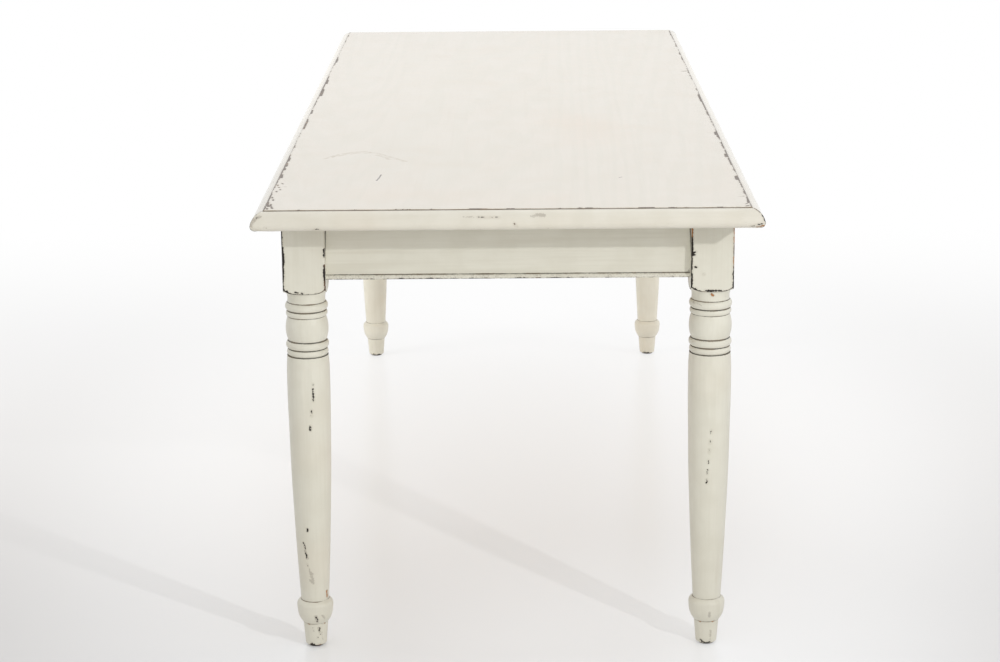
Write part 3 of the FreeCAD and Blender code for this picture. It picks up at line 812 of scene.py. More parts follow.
# a leg: square block above, turned below
turnedLeg = {
    "faceSegments": 40,
    "crowding": 0.6,      # how far the points draw in towards the block's arrises
    "halfBlock": 34.5,
    "arrisRadius": 3.0,
    "blockTop": 733.0,
    "blockRows": 2.2,     # mm between rings of points
    "arrisLow": 617.0,    # level where the upright arrises end
    "shoulderTop": 632.0,
    "shoulderBase": 610.5,
    "shoulderRadius": 17.5,
    "neckRadius": 33.0,
    "neckSwell": -1.2,
    "waistRadius": 30.9,
    "neckLow": 593.0,
    # height and crown radius of each ring
    "rings": ((14.0, 34.7), (10.0, 33.7), (40.0, 34.7), (13.5, 34.9), (11.5, 33.7)),
    # shares of the way down and of the radius
    "shaft": (
        (0.0, 0.965), (0.045, 1.0), (0.25, 0.99), (0.42, 0.955), (0.62, 0.878), (0.82, 0.778), (1.0, 0.665),
    ),
    "shaftRadius": 34.8,
    "shaftRows": 240,
    "ball": ((0.0, 0.79), (0.1, 0.94), (0.3, 1.0), (0.55, 0.97), (0.8, 0.875), (1.0, 0.715)),
    "ballTop": 82.5,
    "ballLow": 42.5,
    "ballRadius": 30.0,
    "ballRows": 34,
    "footRadius": 20.6,
    "footRows": 1.6,
    "toeRadius": 17.5,
    "toeRound": 2.0,
    "footLow": 3.0,
    "seatDepth": 41.72,   # from the axis to the flat that the bolts pull against
    "chipSink": (0.35, 0.7),
    "grooveDirt": (0.6, 1.05, 0.6, 1.0, 1.1, 0.6),   # mm of dirt beside each groove, from the neck down
    "ballDirt": (0.1, 0.5),
    "shoulderBias": 0.0,
    "shoulderDirt": 0.75,   # mm of dirt along the lower edge of the block
}


def smoothThrough(pairs, count):
    # natural spline through listed shares
    xs, ys = (np.array(c, float) for c in zip(*pairs))
    h = np.diff(xs)
    matrix, right = np.eye(len(xs)), np.zeros(len(xs))
    for i in range(1, len(xs) - 1):
        matrix[i, i - 1:i + 2] = h[i - 1], 2 * (h[i - 1] + h[i]), h[i]
        right[i] = 6 * ((ys[i + 1] - ys[i]) / h[i] - (ys[i] - ys[i - 1]) / h[i - 1])
    bend = np.linalg.solve(matrix, right)
    at = np.linspace(xs[0], xs[-1], count)
    k = np.clip(np.searchsorted(xs, at) - 1, 0, len(h) - 1)
    a, b = xs[k + 1] - at, at - xs[k]
    rise = bend[k] * a ** 3 + bend[k + 1] * b ** 3
    ends = (ys[k] / h[k] - bend[k] * h[k] / 6) * a + (ys[k + 1] / h[k] - bend[k + 1] * h[k] / 6) * b
    return at, rise / (6 * h[k]) + ends


def legProfile():
    # radius and level, from the middle of the top down to the middle of the foot
    leg = turnedLeg
    neck, waist, shoulder = leg["neckRadius"], leg["waistRadius"], leg["shoulderRadius"]
    base, level = leg["shoulderBase"], leg["neckLow"]
    centre = base + shoulder
    outline = [(0.0, leg["blockTop"])]
    outline += [(neck + shoulder, z) for z in spaced(centre, leg["blockTop"], leg["blockRows"])[::-1]]
    quarter = [math.pi / 2 * i / 24 for i in range(1, 25)]
    outline += [(neck + shoulder * math.cos(a), centre - shoulder * math.sin(a)) for a in quarter]
    middle = ((neck + waist) / 2 + leg["neckSwell"], (base + level) / 2)
    outline += arcThrough((neck, base), middle, (waist, level), 14)[1:]
    for height, crown in leg["rings"]:
        ring = ((waist, level), (crown, level - height / 2), (waist, level - height))
        outline += arcThrough(*ring, round(8 + height * 0.7))[1:]
        level -= height
    along, swell = smoothThrough(leg["shaft"], leg["shaftRows"])
    outline += [(r * leg["shaftRadius"], level - t * (level - leg["ballTop"])) for t, r in zip(along, swell)]
    along, swell = smoothThrough(leg["ball"], leg["ballRows"])
    ballHeight = leg["ballTop"] - leg["ballLow"]
    outline += [(r * leg["ballRadius"], leg["ballTop"] - t * ballHeight) for t, r in zip(along, swell)]
    rounding, toeRadius = leg["toeRound"], leg["toeRadius"]
    toe = leg["footLow"] + rounding
    for z in spaced(toe, leg["ballLow"], leg["footRows"])[::-1]:
        share = (leg["ballLow"] - z) / (leg["ballLow"] - toe)
        outline.append((leg["footRadius"] + share * (toeRadius - leg["footRadius"]), z))
    toeArc = [math.pi / 2 * i / 4 for i in range(1, 5)]
    outline += [(toeRadius - rounding * (1 - math.cos(a)), toe - rounding * math.sin(a)) for a in toeArc]
    outline.append((0.0, leg["footLow"]))
    return [(r * mm, 0.0, z * mm) for r, z in outline]


def newTree(name, sizes):
    tree = bpy.data.node_groups.new(name, "GeometryNodeTree")
    for label, kind in (("Geometry", "Geometry"),) + sizes:
        tree.interface.new_socket(label, in_out="INPUT", socket_type="NodeSocket" + kind)
    tree.interface.new_socket("Geometry", in_out="OUTPUT", socket_type="NodeSocketGeometry")
    given = tree.nodes.new("NodeGroupInput")
    return tree, {s.name: Wire(tree, s) for s in given.outputs if s.name}


def endTree(shape, material):
    solid = shape.node("GeometryNodeRealizeInstances", inputs={"Geometry": shape})
    done = shape.node("GeometryNodeSetMaterial", inputs={"Geometry": solid, "Material": material})
    shape.node("NodeGroupOutput", inputs={"Geometry": done})


def runTree(piece, tree, values):
    # the modifier's result becomes the piece's own mesh
    modifier = piece.modifiers.new(tree.name, "NODES")
    modifier.node_group = tree
    for socket in tree.interface.items_tree:
        if socket.in_out == "INPUT" and socket.name in values:
            modifier[socket.identifier] = values[socket.name]
    depsgraph = bpy.context.evaluated_depsgraph_get()
    made = bpy.data.meshes.new_from_object(piece.evaluated_get(depsgraph))
    piece.modifiers.remove(modifier)
    piece.data = made
    made.name = piece.name


def turningTree():
    tree, given = newTree("turnedLeg", (
        ("Face Segments", "Int"), ("Crowding", "Float"), ("Half Block", "Float"), ("Arris Radius", "Float"),
        ("Seat Depth", "Float"), ("Seat Low", "Float"), ("Finish", "Material"),
    ))
    outline = given["Geometry"]
    segments, half, arris = given["Face Segments"], given["Half Block"], given["Arris Radius"]
    nudge = 1e-4  # keeps a whole quotient from falling short
    rows = outline.node("GeometryNodeAttributeDomainSize", inputs={"Geometry": outline})
    size = {"Vertices X": segments * 4 + 1, "Vertices Y": rows}
    grid = outline.node("GeometryNodeMeshGrid", inputs=size)
    index = outline.node("GeometryNodeInputIndex")
    column = (index / rows + nudge).maths("FLOOR")
    row = index - column * rows
    sample = {"Geometry": outline, "Value": outline.node("GeometryNodeInputPosition"), "Index": row}
    spot = outline.node("GeometryNodeSampleIndex", {"data_type": "FLOAT_VECTOR"}, sample)
    turnedRadius = spot.node("ShaderNodeSeparateXYZ", inputs={0: spot}, out="X")
    level = spot.node("ShaderNodeSeparateXYZ", inputs={0: spot}, out="Z")

    # each quarter turn is one face of the block, -1 to 1 across it
    quarters = column / segments
    face = (quarters + nudge).maths("FLOOR")
    across = (quarters - face) * 2 - 1
    sway = (across * (math.pi / 2)).maths("SINE")
    across = across + (sway - across) * given["Crowding"]
    lean = across.maths("ARCTANGENT")
    angle = face * (math.pi / 2) + lean

    # square with round arrises, as a distance from the axis
    flat = half / lean.maths("COSINE")
    heart = half - arris
    reach = heart * (lean.maths("COSINE") + lean.maths("ABSOLUTE").maths("SINE"))
    inside = reach * reach - (heart * heart * 2 - arris * arris)
    bend = reach + inside.maths("SQRT")
    onArris = across.maths("ABSOLUTE") * half > heart
    square = flat + (bend - flat) * onArris

    # flat bolt seat across the inner corner
    facing = (angle - math.radians(225)).maths("COSINE")
    seat = given["Seat Depth"] / facing
    seated = (facing > 0.3) * (level > given["Seat Low"])
    square = square + (square.maths("MINIMUM", seat) - square) * seated

    radius = square.maths("MINIMUM", turnedRadius)
    x, y = radius * angle.maths("COSINE"), radius * angle.maths("SINE")
    position = angle.node("ShaderNodeCombineXYZ", inputs={0: x, 1: y, 2: level})
    shape = angle.node("GeometryNodeSetPosition", inputs={"Geometry": grid, "Position": position})
    shape = shape.node("GeometryNodeMergeByDistance", inputs={"Geometry": shape, "Distance": mergeReach})
    endTree(shape, given["Finish"])
    return tree


def legShape():
    leg = turnedLeg
    mesh = bpy.data.meshes.new("turnedLeg")
    mesh.from_pydata(legProfile(), [], [])
    piece = newPiece("turnedLeg", mesh)
    runTree(piece, turningTree(), {
        "Face Segments": leg["faceSegments"], "Crowding": leg["crowding"],
        "Half Block": leg["halfBlock"] * mm, "Arris Radius": leg["arrisRadius"] * mm,
        "Seat Depth": leg["seatDepth"] * mm, "Seat Low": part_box("corner_brace_near_right")[0].z,
        "Finish": legPaint,
    })
    mesh = piece.data
    bpy.data.objects.remove(piece)
    tidyMesh(mesh)
    return mesh


# wear of each leg, seen from its axis with 0 degrees towards the near end and 90 to the right
# arris: mm of wear on the block's upright arrises, at 45, 135, 225 and 315 degrees
# block strokes lie on the face towards the near end: mm across it and level, to the same, and radius
# further across than the face is wide, they lie on its arris
# round strokes: angle and level, to the same, and radius
legWear = {
    "near_left": {
        "arris": (-1.6, 1.0, 0.2, 0.2),
        "block": ((-36, 733, -36, 617, 1.5), (-36, 688, -36, 660, 3.0), (-36, 674, -36, 664, 4.0),
                  (-36, 655, -36, 640, 2.6), (36, 685, 36, 682, 2.0), (36, 677, 36, 674, 2.1),
                  (36, 658, 36, 618, 1.9), (36, 652, 36, 640, 2.9), (-15, 615, -10, 614, 1.1),
                  (-5, 613.5, -1, 613, 0.9), (-34, 617, -28, 616, 1.6)),
        "round": ((15.5, 454, 15.5, 434, 1.3), (16, 462, 16, 460, 0.9), (10, 417, 10, 413, 1.4),
                  (10, 409, 10, 408, 0.9), (5, 391, 5, 389, 1.5), (5, 386, 5, 384, 1.5),
                  (-14, 213, -14, 209, 1.3), (-31, 187, -27, 184, 1.3), (-26, 182, -24, 177, 1.0),
                  (-25, 169, -21, 166, 1.1), (-21, 164, -21, 161, 0.9), (-19, 149, -18, 146, 0.8),
                  (5, 58, 7, 55, 1.0), (9, 56, 11, 52, 1.0), (5, 50, 10, 49, 0.9), (23, 35, 25, 33, 0.9),
                  (20, 31, 21, 30, 0.8), (26, 24, 27, 22, 0.7), (12, 18, 13, 17, 0.7), (-24, 4, 30, 3, 2.2),
                  (-20, 6, -8, 4, 1.8)),
        "bareRound": ((60, 98, 63, 88, 1.9), (-30, 42.3, 50, 42.3, 1.5), (4, 3, 26, 4, 1.0)),
        "scuff": ((-14, 142, -8, 128, 2.0), (-6, 134, -2, 118, 2.0), (-12, 122, 0, 116, 2.2),
                  (-28, 182, -20, 160, 1.6), (4, 60, 10, 48, 2.0), (28, 60, 38, 52, 1.6),
                  (-12, 36, -6, 30, 1.2), (16, 36, 30, 24, 1.4), (34, 26, 42, 12, 1.2)),
    },
    "near_right": {
        "arris": (1.0, 0.4, 0.2, 0.2),
        "block": ((-36, 716, -36, 648, 1.8), (-36, 690, -36, 672, 2.6), (-34, 671, -29, 672, 1.5),
                  (-31, 675, -28, 677, 1.3), (-36, 641, -34, 634, 2.0), (-35, 632, -36, 620, 2.4),
                  (-29, 652, -26, 652, 1.4), (-14, 640, -13.6, 640, 1.2), (36, 707, 36, 622, 0.9),
                  (34, 641, 36, 633, 1.8), (-34, 618, -26, 615, 1.8), (-12, 613, 14, 613, 1.2)),
        "round": ((2, 380, 1, 374, 0.9), (0, 362, -1, 357, 0.9), (-2, 347, -3, 340, 0.9),
                  (-4, 329, -5, 323, 0.9), (-6, 312, -7, 305, 1.0), (-9, 295, -9, 289, 1.2),
                  (-34, 8, -8, 3.4, 1.6), (-8, 3.4, 16, 5, 1.7)),
        "bareBlock": ((-36, 732, -36, 702, 1.5), (36, 731, 36, 692, 1.2), (36, 668, 36, 655, 1.0)),
        "bareRound": ((-2, 606, 2, 604.6, 1.9), (-40, 42.5, 30, 42.5, 1.0)),
        "scuff": ((6, 61, 6, 55, 2.6), (18, 26, 19, 10, 1.4), (-60, 590, -30, 588, 1.4)),
    },
    "far_left": {
        "arris": (0.8, 0.8, 0.6, 0.4),
        "block": ((36, 690, 36, 650, 2.0), (-36, 660, -36, 640, 1.8)),
        "round": ((140, 300, 141, 280, 1.5), (120, 58, 124, 52, 1.8), (-20, 5, 30, 4, 1.2),
                  (150, 420, 151, 400, 1.5)),
        "bareRound": ((200, 44, 240, 44, 1.2),),
        "scuff": ((150, 180, 160, 120, 3.6), (170, 30, 230, 16, 3.2)),
    },
    "far_right": {
        "arris": (0.6, 1.0, 0.6, 0.6),
        "block": ((-36, 670, -36, 640, 2.0),),
        "round": ((190, 250, 191, 230, 1.5), (170, 60, 174, 54, 1.8), (-30, 5, 10, 4, 1.2),
                  (120, 340, 122, 322, 1.5)),
        "bareRound": ((160, 44, 210, 44, 1.2),),
        "scuff": ((100, 200, 108, 140, 3.6), (150, 34, 200, 18, 3.2)),
    },
}


def radiusAt(profile, level):
    # of the turned part, where the level names one radius
    levels = profile[:, 2][::-1]
    return np.interp(level, levels, profile[:, 0][::-1])


def legEdges(profile, biases, half, soft):
    # the four upright arrises, and the curved lower end of the block between them
    leg = turnedLeg
    edges, shoulder = [], []
    turned = profile[(profile[:, 2] <= leg["shoulderTop"] * mm) & (profile[:, 2] >= leg["shoulderBase"] * mm)]
    for k, bias in enumerate(biases):
        start, middle = math.radians(45 + 90 * k), math.radians(90 * k)
        across = math.sqrt(2) * half - soft * math.sqrt(2)
        corner = np.array((across * math.cos(start), across * math.sin(start), 0))
        foot, head = corner + (0, 0, leg["arrisLow"] * mm), corner + (0, 0, leg["blockTop"] * mm)
        edges.append((foot, head, bias * mm))
        curve = []
        for u in np.linspace(-half + soft, half - soft, 21):
            x = half * math.cos(middle) - u * math.sin(middle)
            y = half * math.sin(middle) + u * math.cos(middle)
            z = np.interp(math.hypot(half, u), turned[:, 0][::-1], turned[:, 2][::-1])
            curve.append((x, y, z))
        edges += [(a, b, leg["shoulderBias"] * mm) for a, b in zip(curve, curve[1:])]
        shoulder += [(a, b, leg["shoulderDirt"] * mm) for a, b in zip(curve, curve[1:])]
    return edges, shoulder


def legDirt(spots, shoulder):
    # in the turned grooves, and along the lower edge of the block
    grooves = [turnedLeg["neckLow"]]
    for height, _ in turnedLeg["rings"]:
        grooves.append(grooves[-1] - height)
    grooves += [turnedLeg["ballTop"], turnedLeg["ballLow"]]
    depths = turnedLeg["grooveDirt"] + turnedLeg["ballDirt"]
    dirt = np.max([depth - abs(spots[:, 2] / mm - level) for level, depth in zip(grooves, depths)], axis=0)
    return np.maximum(dirt, strokeField(spots, shoulder))


def dressLeg(name, shape, profile):
    node = "leg_" + name
    low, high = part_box(node)
    axis = Vector(((low.x + high.x) / 2, (low.y + high.y) / 2, 0))
    mesh = shape.copy()
    mesh.name = node + "_painted"
    mesh.transform(Matrix.Rotation(math.radians(corners[name]), 4, "Z"))
    half, soft = turnedLeg["halfBlock"] * mm, turnedLeg["arrisRadius"] * mm * (1 - 1 / math.sqrt(2))
    wear = legWear[name]
    edges, shoulder = legEdges(profile, wear["arris"], half, soft)

    def onBlock(across, level):
        if abs(across * mm) < half:
            return (half, across * mm, level * mm)
        return (half - soft, math.copysign(half - soft, across), level * mm)

    def onRound(angle, level):
        reach = radiusAt(profile, level * mm)
        return (reach * math.cos(math.radians(angle)), reach * math.sin(math.radians(angle)), level * mm)

    def strokes(kind, onLeg):
        return [(onLeg(a, b), onLeg(c, d), r * mm) for a, b, c, d, r in wear.get(kind, ())]

    spots = points(mesh)
    chips = strokeField(spots, strokes("block", onBlock) + strokes("round", onRound))
    bareChips = strokeField(spots, strokes("bareBlock", onBlock) + strokes("bareRound", onRound))
    scuffs = strokeField(spots, strokes("scuff", onRound))
    lowered(mesh, np.maximum(chips, bareChips), *turnedLeg["chipSink"])
    setFields(mesh, arris=strokeField(spots, edges), chip=chips, bareChip=bareChips, scuff=scuffs,
              dirt=legDirt(spots, shoulder))
    mesh.transform(Matrix.Translation(axis))
    handOver(newPiece(node + "_painted", mesh), legPaint, "painted_wood", node)


legMesh = legShape()
legOutline = np.array(legProfile())
for corner in corners:
    dressLeg(corner, legMesh, legOutline)
bpy.data.meshes.remove(legMesh)
print("legs turned:", len(corners))


# aprons, each with a bead strip let into its lower edge
apronRail = {
    "turns": {"near": 0, "right": 90, "far": 180, "left": 270},
    "thickness": 22.0,
    "beadHeight": 8.0,
    "beadProud": 3.2,
    "rebate": 4.0,
    "softness": 0.8,
    "rows": 6.0,          # mm between points up the face
    "stations": 8.0,      # mm between rings along the apron, and along the bead
    "beadStations": 5.0,
    "clear": {"end": 584.0, "long": 1776.0},
    "edgeBias": -1.2,
    # mm of wear along the bead's lower nose, a dark line that is also painted shade for its underside
    "beadWearAndShade": 0.7,
    # along the near strip
    "beadChips": ((-201, -161, 1.3), (-120, -96, 0.9), (-60, -20, 0.9), (30, 70, 0.8), (124, 128, 1.0)),
    # mm of dirt and painted shade in the quirk above the bead
    "quirk": 0.6,
    "beadScuff": -0.3,    # mm, so the bead is rubbed only where the noise is high
    "cornerDirtAndShade": 2.3,    # mm of dirt and painted shade beside the leg, at the top of the joint
}


def apronFrame(side):
    # outer face, half length and levels of the rail on one side of the table
    kind = "long" if side in ("left", "right") else "end"
    node = kind + "_apron_" + side
    low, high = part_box(node)
    acrossAxis = 1 if kind == "long" else 0
    face = max(abs(low[acrossAxis]), abs(high[acrossAxis]))
    return node, face, apronRail["clear"][kind] / 2 * mm, low.z, high.z


def softBox(corners2d, radius, steps=3):
    # polygon with its corners rounded
    made = []
    count = len(corners2d)
    for i, corner in enumerate(corners2d):
        corner = np.array(corner)
        before = np.array(corners2d[i - 1]) - corner
        after = np.array(corners2d[(i + 1) % count]) - corner
        before = before / np.linalg.norm(before)
        after = after / np.linalg.norm(after)
        for s in range(steps + 1):
            t = s / steps
            made.append(tuple(corner + radius * ((1 - t) ** 2 * before + t ** 2 * after)))
    return made


def railLoft(name, section, half, step):
    return loft(name, [[(d, y, z) for d, z in section] for y in spaced(-half, half, step)])


def setRail(node, mesh, side):
    # rails are made for the near side, and turned to their own
    mesh.transform(Matrix.Rotation(math.radians(apronRail["turns"][side]), 4, "Z"))
    paint = endRailPaint if side in ("near", "far") else sideRailPaint
    handOver(newPiece(node + "_painted", mesh), paint, "painted_wood", node)


def apron(side):
    node, face, half, lowZ, highZ = apronFrame(side)
    back, rebate = face - apronRail["thickness"] * mm, face - apronRail["rebate"] * mm
    ledge = lowZ + apronRail["beadHeight"] * mm
    outline = softBox((
        (back, lowZ), (rebate, lowZ), (rebate, ledge), (face, ledge), (face, highZ), (back, highZ),
    ), apronRail["softness"] * mm)
    # the two points on the face get a row of others between them
    first, last = (i for i, spot in enumerate(outline) if abs(spot[0] - face) < 1e-9)
    rows = spaced(outline[first][1], outline[last][1], apronRail["rows"] * mm)[1:-1]
    outline = outline[:first + 1] + [(face, z) for z in rows] + outline[last:]
    mesh = railLoft(node + "_painted", outline, half, apronRail["stations"] * mm)
    spots = points(mesh)
    ends = (half - abs(spots[:, 1])) / mm
    onFace = spots[:, 0] > face - 1 * mm
    # dirt and painted shade, in the quirk above the bead and in the corner beside each leg, most towards the
    # top
    upper = np.clip((spots[:, 2] - ledge) / (highZ - ledge) * 1.6 - 0.4, 0, 1)
    inCorner = apronRail["cornerDirtAndShade"] * upper - ends
    quirk = apronRail["quirk"] - (spots[:, 2] - ledge) / mm
    dirt = np.where(onFace, np.maximum(quirk, inCorner), unworn)
    bare = np.where(spots[:, 0] < back + 2 * mm, 1.0, 0.0)
    lower = (((back, -half, lowZ), (back, half, lowZ), apronRail["edgeBias"] * mm),)
    setFields(mesh, arris=strokeField(spots, lower), dirt=dirt, bare=bare)
    setRail(node, mesh, side)


def beadStrip(side):
    _, face, half, lowZ, _ = apronFrame(side)
    node = "bead_strip_" + side
    back = face - apronRail["rebate"] * mm
    crest = lowZ + apronRail["beadHeight"] * mm
    proud = apronRail["beadProud"] * mm
    nose = arcThrough((face, lowZ), (face + proud, (lowZ + crest) / 2), (face, crest), 13)
    section = [(back, lowZ)] + nose + [(back, crest)]
    mesh = railLoft(node + "_painted", section, half, apronRail["beadStations"] * mm)
    spots = points(mesh)

    def stroke(start, end, radius):
        # along the lower part of the nose
        x, z = face + proud * 0.35, lowZ + 0.4 * mm
        return ((x, start, z), (x, end, z), radius * mm)

    # a dark worn line along the lower nose, also painted shade for the underside
    lower = (stroke(-half, half, apronRail["beadWearAndShade"]),)
    chips = [stroke(a * mm, b * mm, r) for a, b, r in apronRail["beadChips"]] if side == "near" else []
    # dirt and painted shade in the quirk at the top of the bead
    quirk = np.where(spots[:, 0] > face - 1 * mm, apronRail["quirk"] - (crest - spots[:, 2]) / mm, unworn)
    setFields(mesh, arris=strokeField(spots, lower), chip=strokeField(spots, chips),
              scuff=apronRail["beadScuff"], dirt=quirk)
    setRail(node, mesh, side)


for side in apronRail["turns"]:
    apron(side)
    beadStrip(side)
print("aprons and bead strips:", len(apronRail["turns"]), "each")


# timber under the top keeps its sawn shape, with softened arrises
underTimber = {
    "softness": 0.9,
    "grain": {
        "corner_brace_near_right": -45, "corner_brace_far_right": 45, "corner_brace_far_left": -45,
        "corner_brace_near_left": 45, "cross_bearer_near": 90, "cross_bearer_far": 90, "top_buttons": 0,
    },
}


def softenedCopy(node):
    work = bmesh.new()
    work.from_mesh(nodes[node].data)
    bmesh.ops.remove_doubles(work, verts=work.verts, dist=mergeReach)
    bmesh.ops.dissolve_limit(work, angle_limit=math.radians(1), verts=work.verts, edges=work.edges)
    sharp = [e for e in work.edges if len(e.link_faces) == 2 and e.calc_face_angle() > math.radians(40)]
    bmesh.ops.bevel(work, geom=sharp, offset=underTimber["softness"] * mm, offset_type="OFFSET", segments=2,
                    profile=0.5, affect="EDGES", clamp_overlap=True)
    bmesh.ops.recalc_face_normals(work, faces=work.faces)
    mesh = bpy.data.meshes.new(node + "_timber")
    work.to_mesh(mesh)
    work.free()
    shadeSmooth(mesh)
    return mesh


grains = sorted(set(underTimber["grain"].values()))
timbers = {turn: bareTimber("bareTimber%d" % turn, turn) for turn in grains}
for node, turn in underTimber["grain"].items():
    handOver(newPiece(node + "_timber", softenedCopy(node)), timbers[turn], "bare_wood", node)
print("timber under the top:", len(underTimber["grain"]))


# screws, bolts, washers and nuts, set where the frame has them
fasteners = {
    "screwHead": 4.2, "screwShank": 2.2, "headHeight": 2.6, "headEdge": 0.15, "pointLength": 5.0,
    "pointRadius": 0.2, "pointShort": 0.3, "slotWidth": 1.1, "slotDepth": 1.1, "screwSegments": 24,
    "boltRadius": 4.0, "pitch": 1.25, "threadDepth": 0.55, "threadLength": 24.0, "tipLength": 1.2,
    "tipTaper": 0.8, "boltSegments": 20,
    "washerRadius": 8.0, "washerHole": 4.3, "washerThickness": 1.6, "washerEdge": 0.25, "washerSegments": 32,
    "nutFlats": 13.0, "nutHeight": 6.5, "nutClearance": 0.15, "nutCorner": 1.18, "nutChamfer": 0.9,
    "nutSegments": 48,
    "seed": 5,
}


def fastenerPlaces(node, long):
    # middle, direction and half length of each loose solid, with the axis its long or its short way
    work = bmesh.new()
    work.from_mesh(nodes[node].data)
    bmesh.ops.remove_doubles(work, verts=work.verts, dist=mergeReach)
    left, found = set(work.verts), []
    while left:
        island, edge = set(), [next(iter(left))]
        while edge:
            vertex = edge.pop()
            if vertex in left:
                left.discard(vertex)
                island.add(vertex)
                edge += [e.other_vert(vertex) for e in vertex.link_edges]
        spots = np.array([v.co for v in island])
        spots = spots[np.lexsort(spots.T.round(7))]
        middle = (spots.min(0) + spots.max(0)) / 2
        ways = np.linalg.svd(spots - spots.mean(0), full_matrices=False)[2]
        way = ways[0] if long else ways[2]
        reach = (spots - middle) @ way
        found.append((middle, way, (reach.max() - reach.min()) / 2, spots))
    work.free()
    return sorted(found, key=lambda f: tuple(f[0].round(5)))


def fullTurn(segments):
    return [2 * math.pi * i / segments for i in range(segments)]


def polar(radius, angle, level):
    # a place round Z, from millimetres
    return (radius * math.cos(angle) * mm, radius * math.sin(angle) * mm, level * mm)


def turnedSolid(name, outline, segments):
    # closed solid round Z, from an outline of radius and level
    angles = fullTurn(segments)
    return loft(name, [[polar(radius, a, level) for a in angles] for radius, level in outline])


def instanceTree():
    tree, given = newTree("setFasteners", (("Fastener", "Object"), ("Seed", "Int"), ("Finish", "Material")))
    spots = given["Geometry"]
    master = spots.node("GeometryNodeObjectInfo", inputs={"Object": given["Fastener"]}, out="Geometry")
    aim = spots.node("GeometryNodeInputNamedAttribute", {"data_type": "FLOAT_VECTOR"}, {"Name": "aim"})
    upright = spots.node("FunctionNodeAlignRotationToVector", {"axis": "Z"}, {"Vector": aim})
    chance = {"Max_001": 2 * math.pi, "Seed": given["Seed"]}
    turn = spots.node("FunctionNodeRandomValue", inputs=chance, out="Value_001")
    spin = spots.node("FunctionNodeAxisAngleToRotation", inputs={"Axis": (0, 0, 1), "Angle": turn})
    spun = {"Rotation": upright, "Rotate By": spin}
    rotation = spots.node("FunctionNodeRotateRotation", {"rotation_space": "LOCAL"}, spun)
    copying = {"Points": spots, "Instance": master, "Rotation": rotation}
    copies = spots.node("GeometryNodeInstanceOnPoints", inputs=copying)
    endTree(copies, given["Finish"])
    return tree


def setFasteners(node, shape, spots, tree):
    master = newPiece(shape.name, shape)
    mesh = bpy.data.meshes.new(node + "_set")
    mesh.from_pydata([tuple(p) for p, _ in spots], [], [])
    aim = mesh.attributes.new("aim", "FLOAT_VECTOR", "POINT")
    aim.data.foreach_set("vector", np.array([a for _, a in spots], np.float32).ravel())
    piece = newPiece(node + "_set", mesh)
    runTree(piece, tree, {"Fastener": master, "Seed": fasteners["seed"], "Finish": steel})
    tidyMesh(piece.data)
    bpy.data.objects.remove(master)
    handOver(piece, steel, "steel", node)


def screwShape(length):
    look = fasteners
    head, shank = look["screwHead"], look["screwShank"]
    outline = (
        (head - look["headEdge"], 0.0), (head, look["headEdge"]), (shank, look["headHeight"]),
        (shank, length - look["pointLength"]), (look["pointRadius"], length - look["pointShort"]),
    )
    return cutSlot(turnedSolid("screw", outline, look["screwSegments"]))


def cutSlot(mesh):
    # straight slot across the head
    work = bmesh.new()
    work.from_mesh(mesh)
    width, depth = fasteners["slotWidth"] * mm / 2, fasteners["slotDepth"] * mm

    def headFaces():
        return [f for f in work.faces if abs(f.calc_center_median().z) < 1e-6 and abs(f.normal.z) > 0.9]

    for side in (-width, width):
        cap = headFaces()
        # each edge and point once, always in the same order
        geom = dict.fromkeys(g for f in cap for g in (f, *f.edges, *f.verts))
        bmesh.ops.bisect_plane(work, geom=list(geom), plane_co=(0, side, 0), plane_no=(0, 1, 0))
    strip = next(f for f in headFaces() if abs(f.calc_center_median().y) < width * 0.5)
    rim = list(strip.verts)
    bottom = [work.verts.new(v.co + Vector((0, 0, depth))) for v in rim]
    for i in range(len(rim)):
        work.faces.new((rim[i - 1], rim[i], bottom[i], bottom[i - 1]))
    work.faces.new(bottom)
    work.faces.remove(strip)
    work.to_mesh(mesh)
    work.free()
    return mesh


def boltShape(length):
    radius, pitch, depth = fasteners["boltRadius"], fasteners["pitch"], fasteners["threadDepth"]
    start = length - fasteners["threadLength"]
    levels = [0.0, start - 0.01] + spaced(start, length, pitch / 5)

    def thread(angle, z):
        turn = (z / pitch - angle / (2 * math.pi)) % 1
        tip = max(0.0, z - (length - fasteners["tipLength"])) * fasteners["tipTaper"]
        return radius - (depth * abs(2 * turn - 1) if z > start else 0.0) - tip

    angles = fullTurn(fasteners["boltSegments"])
    return loft("bolt", [[polar(thread(a, z), a, z) for a in angles] for z in levels])


def washerShape():
    outer, hole, thick = fasteners["washerRadius"], fasteners["washerHole"], fasteners["washerThickness"]
    edge = fasteners["washerEdge"]
    rim = ((outer - edge, 0.0), (outer, edge), (outer, thick - edge), (outer - edge, thick))
    return ringShape("washer", ((hole, 0.0), *rim, (hole, thick)), fasteners["washerSegments"])


def ringShape(name, section, segments):
    # closed ring with a hole, from a section of radius and level
    size = len(section)
    vertices, faces = [], []
    for i, angle in enumerate(fullTurn(segments)):
        vertices += [polar(radius, angle, level) for radius, level in section]
        for j in range(size):
            k, n = (j + 1) % size, (i + 1) % segments
            faces.append((i * size + j, n * size + j, n * size + k, i * size + k))
    return closedMesh(name, vertices, faces)


def nutShape():
    look = fasteners
    flats, height, chamfer = look["nutFlats"] / 2, look["nutHeight"], look["nutChamfer"]
    bore, corner = look["boltRadius"] + look["nutClearance"], flats * look["nutCorner"]
    rim = ((flats, 0.0), (corner, chamfer), (corner, height - chamfer), (flats, height))
    mesh = ringShape("nut", ((bore, 0.0), *rim, (bore, height)), look["nutSegments"])
    # what is past the flats is cut off
    spots = points(mesh)
    angle = np.arctan2(spots[:, 1], spots[:, 0])
    lean = (angle + math.pi / 6) % (math.pi / 3) - math.pi / 6
    hexagon = flats * mm / np.cos(lean)
    across = np.hypot(spots[:, 0], spots[:, 1])
    spots[:, :2] *= (np.minimum(across, hexagon) / across)[:, None]
    setPoints(mesh, spots)
    return mesh


